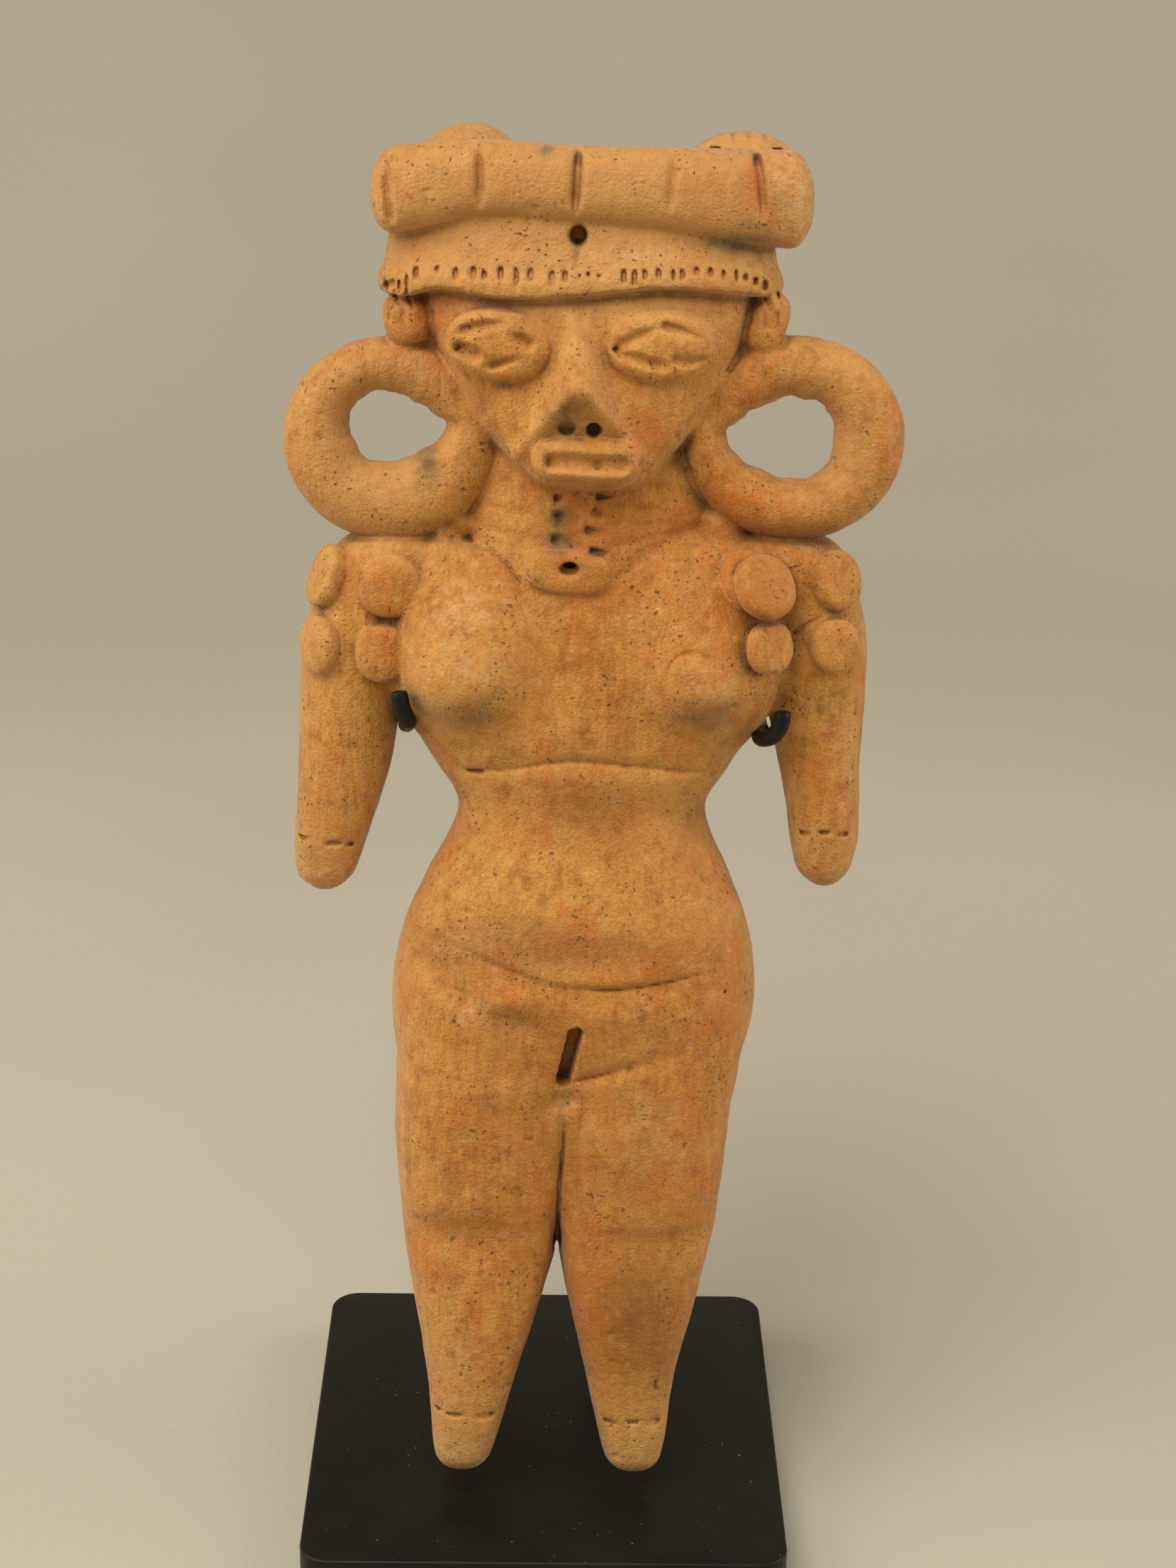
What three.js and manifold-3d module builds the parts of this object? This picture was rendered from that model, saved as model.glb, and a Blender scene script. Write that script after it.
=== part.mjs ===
// A hand-modelled terracotta figurine of a standing woman, held by a wire cradle on a square base plate.
// Millimetres, +Z up. The origin is the centre of the plate's underside, and the figurine faces -Y.

import * as THREE from "three";
import { LoftGeometry } from "three/addons/geometries/LoftGeometry.js";
import { mergeVertices } from "three/addons/utils/BufferGeometryUtils.js";
import Module from "manifold-3d";

const wasm = await Module();
wasm.setup();

// Driving dimensions of the stand
const PLATE = { side: 50.8, thickness: 6.4, corner: 3.2, edge: 0.4 };
const POST = { radius: 1.6, x: 7, y: 12.6, top: 90.5, socketDepth: 5 };
const WIRE_RADIUS = 0.85;
const GAP = 0.3; // air between two pieces that touch

// The figurine leans back by this angle, with its toes this far forward of the plate's centre.
const FIGURE = { lean: 8, toeForward: 10.4, toeClearance: 0.9 };

// The figurine's own frame: x to the viewer's right, height up its length from the toes, and front and back
// measured from its middle plane. It was shaped by hand, so its middle line wanders: [height, x].
const MIDLINE = [
  [0, 0.2],
  [28, 1.05],
  [40, 1.3],
  [53, 2.2],
  [80, 2.9],
  [140, 2.5],
];

// Profiles of the single forms: [height, half width about the middle line, front, back]
const TORSO = [
  [44, 14.0, 6.4, 8.0],
  [50, 17.9, 8.8, 10.6],
  [55, 18.5, 10.0, 11.0],
  [61, 17.7, 10.0, 9.6],
  [67, 15.4, 8.8, 8.0],
  [74.3, 12.5, 7.4, 7.1],
  [79, 14.9, 7.9, 7.4],
  [85, 18.1, 8.5, 7.7],
  [95, 21.5, 8.0, 7.5],
  [103, 20.6, 6.2, 6.2],
];
const NECK = [
  [95, 10.5, 7.0, 6.4],
  [104, 11.3, 6.7, 6.5],
  [113, 10.4, 5.5, 7.2],
];
const HEAD = [
  [106.7, 4.5, 8.4, 4.5],
  [109, 7.0, 9.1, 6.0],
  [113.6, 11.2, 9.3, 7.6],
  [119, 14.3, 9.3, 8.2],
  [125, 16.3, 9.0, 8.4],
  [138.6, 16.5, 4.5, 6.4],
];
const NOSE = [
  [113.0, 2.8, 12.4, -7],
  [115.2, 2.2, 13.8, -7],
  [118.4, 1.5, 11.8, -7],
  [122.6, 0.6, 9.6, -7],
];
const HEADBAND = [
  [124.8, 18.9, 9.9, 9.2],
  [126.6, 19.6, 10.2, 9.4],
  [128.6, 18.9, 9.3, 8.8],
  [133.5, 18.3, 8.6, 8.2],
];

// Profiles of the paired limbs: [height, inner side, outer side, front, back], the sides from the middle line
const LEG = [
  [0, 6.6, 11.7, 4.6, 2.2],
  [4.3, 5.6, 12.3, 5.3, 3.4],
  [12.3, 3.6, 13.4, 5.9, 5.2],
  [24, 0.6, 15.7, 6.7, 6.9],
  [31, -0.6, 16.7, 6.9, 7.6],
  [46, -1.2, 17.5, 8.4, 9.7],
  [57, -1.2, 16.2, 7.6, 9.2],
];
const ARM = [
  [65, 22.7, 28.3, 3.4, 3.0],
  [71, 21.6, 28.9, 4.3, 3.8],
  [80, 19.4, 28.3, 5.2, 5.0],
  [91, 17.6, 28.3, 6.0, 5.7],
  [98.5, 15.5, 26.6, 5.8, 5.4],
  [103.2, 13.5, 24.6, 4.8, 4.6],
];

// The padded roll of the headdress, from end to end: places of its middle line as [x, front, height]
const ROLL = {
  line: [
    [-18.5, 4.2, 134.4],
    [-6, 6.6, 136.3],
    [8, 6.8, 136],
    [24.3, 4.2, 133.7],
  ],
  radius: 4.1,
  slitsAt: [-16.1, -7.7, 1.3, 10, 18.4],
};

// Ear rings: the outer oval and the hole, each as centre x, centre height, half width, half height.
// A hole is narrower towards the face, which lies to the right of the first ring and left of the second.
const EAR_RINGS = [
  { outer: [-16.2, 111.3, 10.6, 9.9], hole: [-15.6, 112.2, 4.7, 3.4], faceSide: 1 },
  { outer: [22.9, 111.8, 10.9, 9.8], hole: [21.6, 111.8, 5.4, 4.0], faceSide: -1 },
];
const RING_DEPTH = { front: 2.6, half: 3.2 };

// Clay pellets pressed on the shoulders: x, height, half width, half height, and the turn about the arm
const PELLETS = [
  [-22.5, 97.9, 2.6, 3.3, -35],
  [-16.2, 97.2, 3.0, 3.0, -8],
  [-23.2, 91.4, 2.4, 2.9, -35],
  [-17.2, 90.8, 2.4, 2.9, -10],
  [19.9, 97.9, 3.2, 3.2, 5],
  [27.2, 98.3, 2.7, 2.9, 30],
  [20.7, 92.0, 2.5, 2.4, 5],
  [27.2, 92.1, 2.5, 2.7, 22],
];

// Eyes: x, height and the tilt of the long axis
const EYES = [
  [-5.9, 121.0, -9],
  [9.8, 121.2, 7],
];
const EYE_HALF = { width: 5.0, height: 3.5, depth: 1.7 };
const MOUTH = { x: 2.4, height: 110.1, halfWidth: 4.8, halfHeight: 2.3, front: 8.2 };
const BREASTS = [-8.2, 14.6];
const BUTTOCKS = [-7, 11.5];

// Turns a closed geometry into a solid that can be joined and cut.
function solidOf(geometry) {
  const bare = new THREE.BufferGeometry().copy(geometry);
  bare.deleteAttribute("normal");
  bare.deleteAttribute("uv");
  const merged = mergeVertices(bare, 1e-4);
  const mesh = new wasm.Mesh({
    numProp: 3,
    vertProperties: new Float32Array(merged.attributes.position.array),
    triVerts: new Uint32Array(merged.index.array),
  });
  return new wasm.Manifold(mesh);
}

function geometryOf(solid) {
  const mesh = solid.getMesh();
  const geometry = new THREE.BufferGeometry();
  geometry.setAttribute("position", new THREE.BufferAttribute(mesh.vertProperties, 3));
  geometry.setIndex(new THREE.BufferAttribute(mesh.triVerts, 1));
  geometry.computeVertexNormals();
  return geometry;
}

function joined(solids) {
  return solids.reduce((whole, solid) => whole.add(solid));
}

// Reads the rows of a profile at any height, on a smooth curve through them.
function smoothRows(rows) {
  const heights = rows.map((row) => row[0]);
  const values = rows.flatMap((row) => row.slice(1));
  const curve = new THREE.CubicInterpolant(heights, values, rows[0].length - 1);
  return (height) => [...curve.evaluate(height)];
}

const midlineAt = smoothRows(MIDLINE);

// A closed oval at one height. Power 2 is an ellipse, and a higher power is squarer.
function ovalSection(height, [left, right, front, back], sides, power, scale) {
  const halfWidth = ((right - left) / 2) * scale;
  const halfDepth = ((front + back) / 2) * scale;
  return Array.from({ length: sides }, (_, i) => {
    const angle = (i / sides) * 2 * Math.PI;
    const c = Math.cos(angle);
    const s = Math.sin(angle);
    const reach = (Math.abs(c) ** power + Math.abs(s) ** power) ** (-1 / power);
    const x = (left + right) / 2 + halfWidth * reach * c;
    const y = (back - front) / 2 + halfDepth * reach * s;
    return new THREE.Vector3(x, y, height);
  });
}

// A solid along a profile, with a rounded end of the given height at each end. A side of 0 is a single form
// centred on the middle line, -1 a limb to its left and 1 a limb to its right.
function lofted(rows, { sides, rings, power = 2.4, side = 0, shift = 0, lowDome = 2, highDome = 2 }) {
  const profile = smoothRows(rows);
  const domeRings = 2;
  const low = rows[0][0];
  const high = rows.at(-1)[0];
  const extentAt = (height) => {
    const middle = midlineAt(height)[0] + shift;
    if (side === 0) {
      const [half, front, back] = profile(height);
      return [middle - half, middle + half, front, back];
    }
    const [inner, outer, front, back] = profile(height);
    const edges = [middle + side * inner, middle + side * outer].sort((a, b) => a - b);
    return [...edges, front, back];
  };
  const sections = [];
  const add = (height, scale) => {
    sections.push(ovalSection(height, extentAt(height), sides, power, scale));
  };
  const domeAngle = (k) => ((k + 0.6) / (domeRings + 0.6)) * (Math.PI / 2);
  for (let k = 0; k < domeRings; k++) {
    add(low + lowDome * (1 - Math.cos(domeAngle(k))), Math.sin(domeAngle(k)));
  }
  for (let k = 0; k <= rings; k++) {
    add(THREE.MathUtils.lerp(low + lowDome, high - highDome, k / rings), 1);
  }
  for (let k = domeRings - 1; k >= 0; k--) {
    add(high - highDome * (1 - Math.cos(domeAngle(k))), Math.sin(domeAngle(k)));
  }
  return solidOf(new LoftGeometry(sections, { capStart: true, capEnd: true }));
}

// An ellipsoid at [x, front, height]. It is tilted in the front plane, nodded forward or back, then turned
// sideways to follow a round surface.
function ellipsoid([x, front, height], [halfWidth, halfDepth, halfHeight], options = {}) {
  const { tilt = 0, turn = 0, nod = 0, segments = [10, 6] } = options;
  const geometry = new THREE.SphereGeometry(1, ...segments);
  geometry.rotateX(Math.PI / 2);
  geometry.scale(halfWidth, halfDepth, halfHeight);
  geometry.rotateY(-THREE.MathUtils.degToRad(tilt));
  geometry.rotateX(THREE.MathUtils.degToRad(nod));
  geometry.rotateZ(THREE.MathUtils.degToRad(turn));
  geometry.translate(x, -front, height);
  return solidOf(geometry);
}

// A round bar through places given as [x, front, height]
function bar(places, radius, curveSegments, steps) {
  const points = places.map(([x, front, height]) => new THREE.Vector3(x, -front, height));
  const section = new THREE.Shape();
  section.absarc(0, 0, radius, 0, 2 * Math.PI, false);
  const extrudePath = new THREE.CatmullRomCurve3(points, false, "centripetal");
  return solidOf(new THREE.ExtrudeGeometry(section, { steps, curveSegments, extrudePath }));
}

// A ring whose thickness is what lies between an outer oval and a hole
function earRing({ outer, hole, faceSide }) {
  const middleRadius = 10;
  const geometry = new THREE.TorusGeometry(middleRadius, 1, 7, 18);
  const position = geometry.attributes.position;
  for (let i = 0; i < position.count; i++) {
    const angle = Math.atan2(position.getY(i), position.getX(i));
    const outward = Math.hypot(position.getX(i), position.getY(i)) - middleRadius;
    const on = ([x, height, halfWidth, halfHeight], taper) => {
      const rise = halfHeight * Math.sin(angle) * (1 - taper * faceSide * Math.cos(angle));
      return new THREE.Vector2(x + halfWidth * Math.cos(angle), height + rise);
    };
    const place = on(hole, 0.35).lerp(on(outer, 0), (1 + outward) / 2);
    position.setXYZ(i, place.x, -RING_DEPTH.front - RING_DEPTH.half * position.getZ(i), place.y);
  }
  return solidOf(geometry);
}

// The roll of the headdress, narrowing to a round end at each side, with its row of cut slits
function headdressRoll() {
  const points = ROLL.line.map(([x, front, height]) => new THREE.Vector3(x, -front, height));
  const line = new THREE.CatmullRomCurve3(points);
  const sides = 10;
  const steps = 14;
  const sections = Array.from({ length: steps + 1 }, (_, i) => {
    const middle = line.getPointAt(i / steps);
    const fromEnd = Math.min(i / steps, 1 - i / steps) * line.getLength();
    const inset = Math.max(0, 1 - (fromEnd + 0.25) / ROLL.radius);
    const reach = ROLL.radius * Math.sqrt(1 - inset * inset);
    return Array.from({ length: sides }, (_, k) => {
      const angle = (k / sides) * 2 * Math.PI;
      const y = middle.y + reach * Math.cos(angle);
      return new THREE.Vector3(middle.x, y, middle.z + reach * Math.sin(angle));
    });
  });
  const roll = solidOf(new LoftGeometry(sections, { capStart: true, capEnd: true }));
  const slits = ROLL.slitsAt.map((x) => {
    const sideways = (x - 2.5) / 20;
    const place = [x, 11 - 2.6 * sideways ** 2, 136.1 - 1.2 * sideways ** 2];
    return ellipsoid(place, [0.45, 1.6, 3.3], { turn: 12 * sideways, segments: [4, 4] });
  });
  return roll.subtract(joined(slits));
}

// Two pads that lie over the crown behind the roll, their ends showing above it
function crownPads() {
  return [
    ellipsoid([-8.9, -0.6, 137.6], [4.9, 6.2, 3.6], { tilt: 4 }),
    ellipsoid([17.2, -0.4, 137.2], [5.4, 6.2, 3.7], { tilt: -8 }),
  ];
}

// An oval pad of clay with four slits that leave a lozenge in its middle
function eye([x, height, tilt]) {
  const { width, height: tall, depth } = EYE_HALF;
  const pad = ellipsoid([x, 8.9, height], [width, depth, tall], { tilt, segments: [12, 6] });
  const across = new THREE.Vector2(1, 0).rotateAround(new THREE.Vector2(), THREE.MathUtils.degToRad(tilt));
  const up = new THREE.Vector2(-across.y, across.x);
  const slits = [-1, 1].flatMap((side) =>
    [-1, 1].map((above) => {
      const place = new THREE.Vector2(x, height);
      place.addScaledVector(across, side * 0.45 * width);
      place.addScaledVector(up, above * 0.36 * tall);
      const options = { tilt: tilt - side * above * 24, segments: [4, 2] };
      return ellipsoid([place.x, 10.5, place.y], [2.6, 0.9, 0.5], options);
    }),
  );
  return pad.subtract(joined(slits));
}

function nose() {
  const body = lofted(NOSE, { sides: 10, rings: 3, power: 1.7, shift: -0.7, lowDome: 0.8, highDome: 1 });
  const nostrils = [0.6, 3.2].map((x) =>
    ellipsoid([x, 12.6, 113.6], [0.65, 1.6, 0.7], { nod: -50, segments: [6, 4] }),
  );
  return body.subtract(joined(nostrils));
}

function mouth() {
  const { x, height, halfWidth, halfHeight, front } = MOUTH;
  const lips = ellipsoid([x, front, height], [halfWidth, 2.3, halfHeight], { segments: [12, 6] });
  const slit = ellipsoid([x, front + 2.2, height + 0.3], [4.0, 1.3, 0.7], { segments: [8, 4] });
  return lips.subtract(slit);
}

function breasts() {
  return BREASTS.flatMap((x) => [
    ellipsoid([x, 5.2, 89.9], [7.3, 5.4, 8.4], { nod: 6, segments: [12, 8] }),
    ellipsoid([x + 0.2, 9.8, 88.8], [2.4, 1.8, 2.3], { segments: [8, 6] }),
  ]);
}

function buttocks() {
  return BUTTOCKS.map((x) => ellipsoid([x, -7.4, 52.5], [8.2, 5.4, 8.6], { nod: 8, segments: [12, 8] }));
}

// The pellet at the throat, pierced by one hole
function throatPellet() {
  const pellet = ellipsoid([1.1, 7.4, 99.4], [4.3, 1.8, 2.4], { segments: [12, 6] });
  return pellet.subtract(ellipsoid([1.3, 9.4, 99.7], [0.95, 1.6, 0.7], { segments: [6, 4] }));
}

// The short locks that hang below the headband in front of each ear
function sideLocks() {
  return [
    ellipsoid([-15.4, 3.6, 123.0], [2.1, 2.6, 2.8]),
    ellipsoid([20.6, 3.6, 123.2], [1.9, 2.6, 2.9], { tilt: -12 }),
  ];
}

function shoulderPellets() {
  return PELLETS.map(([x, height, halfWidth, halfHeight, turn]) => {
    const front = 6.4 - 2.6 * (turn / 35) ** 2;
    return ellipsoid([x, front, height], [halfWidth, 1.6, halfHeight], { turn, segments: [10, 4] });
  });
}

function bodyOfClay() {
  const leg = { sides: 16, rings: 8, power: 2.7, lowDome: 2.6, highDome: 3 };
  const arm = { sides: 12, rings: 6, power: 2.3, lowDome: 3.4, highDome: 3 };
  return joined([
    lofted(TORSO, { sides: 24, rings: 11, lowDome: 3, highDome: 2.4 }),
    ...[-1, 1].map((side) => lofted(LEG, { side, ...leg })),
    ...[-1, 1].map((side) => lofted(ARM, { side, ...arm })),
    lofted(NECK, { sides: 16, rings: 2, power: 2.2 }),
    lofted(HEAD, { sides: 20, rings: 5, power: 2.8, lowDome: 1.4, highDome: 2.5 }),
    lofted(HEADBAND, { sides: 22, rings: 2, power: 2.7, shift: -0.6, lowDome: 0.9, highDome: 0.6 }),
    headdressRoll(),
    ...crownPads(),
    ...EAR_RINGS.map(earRing),
    ...sideLocks(),
    ...EYES.map(eye),
    nose(),
    mouth(),
    throatPellet(),
    ...breasts(),
    ...buttocks(),
    ...shoulderPellets(),
  ]);
}

// Small pricked marks of one size at places given as [x, front, height]
function pricks(places, halfSize) {
  return places.map((place) => ellipsoid(place, halfSize, { segments: [4, 2] }));
}

// Long grooves pressed into the front of the body
function grooves() {
  return [
    // Under the breasts
    bar([[-8.9, 8.4, 78.9], [-0.5, 8.3, 80.3], [6, 8.4, 80.2], [15.2, 8.0, 78.9]], 0.45, 3, 6),
    // Under the belly
    bar([[-9.7, 9.8, 61.6], [-2.5, 10.4, 58.7], [4.5, 10.6, 57.4], [16, 9.4, 59.0]], 0.5, 3, 6),
    // Between each thigh and the body
    bar([[-10.8, 9.4, 57.6], [-8.3, 10.0, 55.0], [-3.0, 10.2, 52.4]], 0.45, 3, 4),
    bar([[2.4, 9.2, 47.0], [8.1, 9.6, 49.0], [15.2, 8.4, 51.3]], 0.45, 3, 4),
    // Between the thighs
    bar([[1.5, 7.6, 45], [1.3, 6.6, 37], [1.1, 5.6, 26]], 0.7, 3, 4),
  ];
}

// The row of upright pricks along the headband's lower edge
function bandPricks() {
  const count = 20;
  const places = Array.from({ length: count }, (_, i) => {
    const x = THREE.MathUtils.lerp(-13.5, 19.2, i / (count - 1));
    const sideways = Math.abs(x - 2) / 19.6;
    return [x, 0.1 + 10.1 * (1 - sideways ** 2.7) ** (1 / 2.7), 127.4];
  });
  return pricks(places, [0.4, 0.9, 0.8]);
}

function chinPricks() {
  const places = [106.3, 104.5, 102.2].flatMap((height) => [0.3, 4].map((x) => [x, 7, height]));
  return pricks(places, [0.7, 1.0, 0.6]);
}

function fingerAndToePricks() {
  const fingers = [-23.2, 26.9].flatMap((x) => [-2, 0, 2].map((across) => [x + across, 4.3, 72.2]));
  const toes = [-8.9, 9.1].flatMap((x) => [-2.3, 0, 2.3].map((across) => [x + across, 5.6, 8.9]));
  return pricks([...fingers, ...toes], [0.8, 0.9, 0.4]);
}

function figurineSolid() {
  const marks = joined([
    ...grooves(),
    ...bandPricks(),
    ...chinPricks(),
    ...fingerAndToePricks(),
    // The hole in the middle of the headband, and the slit at the top of the legs
    ellipsoid([1.5, 9.0, 131.3], [0.8, 2.0, 1.0], { segments: [6, 4] }),
    ellipsoid([1.9, 9.0, 50.0], [0.75, 3.0, 3.3], { tilt: -10, segments: [8, 4] }),
  ]);
  return bodyOfClay().subtract(marks);
}

// From the figurine's frame to the plate's
function figurePlacement() {
  const lean = -THREE.MathUtils.degToRad(FIGURE.lean);
  const placement = new THREE.Matrix4().makeRotationX(lean);
  return placement.setPosition(0, -FIGURE.toeForward, PLATE.thickness + FIGURE.toeClearance);
}

// One bent wire: a hook before each armpit, through the gap between arm and side, and across the back
function yokeWire() {
  const seat = 82.2;
  const behind = -9.6;
  const hook = (x, outward) => [
    [x + 0.3 * outward, 7.7, seat + 4.2],
    [x - 0.4 * outward, 7.6, seat + 2.2],
    [x - 1.0 * outward, 6.2, seat + 0.5],
    [x - 0.4 * outward, 3.5, seat],
    [x, 0, seat],
    [x - 0.2 * outward, -6.0, seat],
    [x - 1.4 * outward, -8.8, seat],
    [x - 4.5 * outward, behind, seat],
  ];
  const places = [...hook(-14.9, -1), ...hook(20.8, 1).reverse()];
  return bar(places, WIRE_RADIUS, 4, 34);
}

function cradleSolid() {
  const height = POST.top - (PLATE.thickness - POST.socketDepth) - GAP;
  const post = new THREE.CylinderGeometry(POST.radius, POST.radius, height, 16);
  post.rotateX(Math.PI / 2);
  post.translate(POST.x, POST.y, POST.top - height / 2);
  const wire = yokeWire().transform(figurePlacement().elements);
  return solidOf(post).add(wire);
}

function plateSolid() {
  const reach = PLATE.side / 2 - PLATE.edge;
  const straight = PLATE.side / 2 - PLATE.corner;
  const outline = new THREE.Shape();
  const corners = [[1, -1], [1, 1], [-1, 1], [-1, -1]];
  corners.forEach(([right, back], i) => {
    const start = (i - 1) * (Math.PI / 2);
    outline.absarc(right * straight, back * straight, reach - straight, start, start + Math.PI / 2, false);
  });
  const slab = new THREE.ExtrudeGeometry(outline, {
    depth: PLATE.thickness - 2 * PLATE.edge,
    bevelThickness: PLATE.edge,
    bevelSize: PLATE.edge,
    bevelSegments: 1,
    curveSegments: 5,
  });
  slab.translate(0, 0, PLATE.edge);
  const socket = new THREE.CylinderGeometry(POST.radius + GAP, POST.radius + GAP, 2 * POST.socketDepth, 16);
  socket.rotateX(Math.PI / 2);
  socket.translate(POST.x, POST.y, PLATE.thickness);
  return solidOf(slab).subtract(solidOf(socket));
}

function named(name, solid, material) {
  const mesh = new THREE.Mesh(geometryOf(solid), material);
  mesh.name = name;
  return mesh;
}

const terracotta = new THREE.MeshStandardMaterial({ color: 0xcf9159, roughness: 0.72, metalness: 0 });
const blackPaint = new THREE.MeshStandardMaterial({ color: 0x1c1b19, roughness: 0.45, metalness: 0 });

const figurine = named("figurine", figurineSolid(), terracotta);
figurine.applyMatrix4(figurePlacement());

const model = new THREE.Group();
model.add(figurine);
model.add(named("wire_cradle", cradleSolid(), blackPaint));
model.add(named("base_plate", plateSolid(), blackPaint));

export default model;
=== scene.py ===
"""The terracotta figurine, its wire cradle and its base plate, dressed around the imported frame.

The figurine is sculpted as a field of distances on a fine grid, in its own upright frame and in millimetres:
x to the viewer's right, front towards the viewer, and height up its length from the toes. The field becomes a
mesh, which is then leaned back and set over the plate.
"""

import math

import bmesh
import bpy
import numpy as np
import openvdb
from mathutils import Matrix, Vector


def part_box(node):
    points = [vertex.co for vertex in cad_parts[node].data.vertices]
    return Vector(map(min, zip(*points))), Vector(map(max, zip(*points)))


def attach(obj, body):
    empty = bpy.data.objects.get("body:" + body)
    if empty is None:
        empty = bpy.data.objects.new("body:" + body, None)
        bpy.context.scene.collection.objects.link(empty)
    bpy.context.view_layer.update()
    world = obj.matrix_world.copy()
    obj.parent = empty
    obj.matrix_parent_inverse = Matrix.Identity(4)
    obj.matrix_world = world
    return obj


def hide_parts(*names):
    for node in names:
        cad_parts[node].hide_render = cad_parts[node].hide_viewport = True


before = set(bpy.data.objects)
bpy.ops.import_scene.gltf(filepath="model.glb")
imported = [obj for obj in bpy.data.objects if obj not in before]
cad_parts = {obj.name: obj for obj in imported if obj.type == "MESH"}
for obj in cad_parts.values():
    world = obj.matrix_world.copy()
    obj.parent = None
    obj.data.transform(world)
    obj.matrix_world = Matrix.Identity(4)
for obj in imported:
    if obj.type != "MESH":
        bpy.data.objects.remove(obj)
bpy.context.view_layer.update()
MM = 0.001

# Where the figurine stands: its lean in degrees, and in millimetres its toes before the plate's centre
PLATE_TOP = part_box("base_plate")[1][2] / MM
LEAN = 8.0
TOE_FORWARD = 10.4
TOE_CLEARANCE = 0.9

# The sculpting grid, in millimetres
CELL = 0.25
LOW = (-30.0, -13.5, -1.5)
HIGH = (37.5, 16.0, 143.5)
FAR = 6.0
MOST_TRIANGLES = 190000
SPARING = 0.004

# The middle line of the hand-shaped body: [height, x]
MIDLINE = [
    [0, 0.2],
    [28, 1.05],
    [40, 1.3],
    [53, 2.2],
    [80, 2.9],
    [140, 2.5],
]

# Profiles of the single forms: [height, half width about the middle line, front, back]
TORSO = [
    [44, 14.0, 6.4, 8.0],
    [50, 17.9, 8.8, 10.6],
    [55, 18.5, 10.0, 11.0],
    [61, 17.7, 10.0, 9.6],
    [67, 15.4, 8.8, 8.0],
    [74.3, 12.5, 7.4, 7.1],
    [79, 14.9, 7.9, 7.4],
    [85, 18.1, 8.5, 7.7],
    [95, 21.5, 8.0, 7.5],
    [103, 20.6, 6.2, 6.2],
]
NECK = [
    [95, 11.6, 7.0, 7.0],
    [104, 12.4, 6.7, 7.2],
    [113, 11.4, 5.5, 7.4],
]
HEAD = [
    [106.7, 4.5, 8.4, 4.5],
    [109, 7.0, 9.1, 6.0],
    [113.6, 11.2, 9.3, 7.6],
    [119, 14.3, 9.3, 8.2],
    [125, 16.3, 9.0, 8.4],
    [138.6, 16.5, 4.5, 6.4],
]
HEADBAND = [
    [124.9, 18.7, 9.9, 9.2],
    [126.7, 19.5, 10.3, 9.4],
    [128.8, 18.8, 9.4, 8.8],
    [133.5, 18.3, 8.6, 8.2],
]

# How far the headband's hem wanders up and down along its length: [x, rise]
HEM = [
    [-17, -0.1],
    [-14.9, -0.3],
    [-11.4, 0.6],
    [-6.2, -0.1],
    [1.1, 0.3],
    [9.3, 1.2],
    [16, 0.5],
    [21, -0.1],
]

# Profiles of the paired limbs: [height, inner side, outer side, front, back], the sides from the middle line
LEG = [
    [0.8, 7.0, 11.5, 3.8, 2.4],
    [4.3, 5.6, 12.3, 5.2, 3.4],
    [12.3, 3.6, 13.2, 5.9, 5.2],
    [24, 0.6, 15.5, 6.7, 6.9],
    [31, -0.6, 16.6, 6.9, 7.6],
    [46, -1.2, 17.4, 8.4, 9.7],
    [57, -1.2, 16.2, 7.6, 9.2],
]
WEB = [
    [27, 2.0, 3.4, 6.0],
    [36, 4.0, 5.9, 7.0],
    [46, 5.0, 7.9, 8.0],
]
LEFT_ARM = [
    [65, 23.2, 28.4, 3.2, 2.9],
    [67, 22.7, 28.9, 3.6, 3.2],
    [71, 21.5, 29.1, 4.3, 3.8],
    [76, 20.0, 28.7, 4.8, 4.4],
    [80, 19.1, 28.5, 5.2, 5.0],
    [91.6, 17.4, 27.9, 6.0, 5.7],
    [98.5, 15.8, 25.8, 5.8, 5.4],
    [103.2, 13.4, 22.8, 4.8, 4.6],
]
RIGHT_ARM = [
    [66.1, 22.8, 27.1, 3.2, 2.9],
    [67.9, 22.1, 27.6, 3.7, 3.3],
    [71, 21.3, 28.2, 4.3, 3.8],
    [75, 20.6, 28.2, 4.8, 4.3],
    [80, 19.5, 27.9, 5.2, 5.0],
    [91.6, 17.1, 28.2, 6.0, 5.7],
    [98.5, 15.2, 26.3, 5.8, 5.4],
    [103.2, 13.2, 23.8, 4.8, 4.6],
]

# The nose, a three-sided pyramid: its corners as [x, front, height]
NOSE_BRIDGE = [1.6, 9.4, 125.8]
NOSE_TIP = [1.9, 14.6, 118.2]
NOSE_WINGS = [[-3.2, 9.2, 112.0], [6.9, 9.2, 112.0]]

# The padded roll of the headdress, from end to end: [x, front, height, radius] of its middle line
ROLL = [
    [-18.1, 4.6, 134.9, 3.9],
    [-14, 5.4, 135.4, 4.1],
    [-8, 6.3, 136.3, 3.7],
    [1, 6.8, 136.0, 3.65],
    [8.6, 6.7, 135.7, 3.9],
    [16, 5.8, 135.1, 4.25],
    [23.8, 4.4, 134.6, 4.6],
]

# Ear rings: the outer oval and the hole, each as centre x, centre height, half width, half height, and the
# side that the face is on, where the hole narrows
EAR_RINGS = [
    ((-16.2, 111.3, 10.55, 9.9), (-15.6, 112.5, 4.7, 3.2), 1),
    ((22.85, 112.0, 10.85, 9.85), (21.6, 111.9, 5.4, 3.95), -1),
]
RING_FRONT = 2.6
RING_HALF_DEPTH = 3.2

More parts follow.
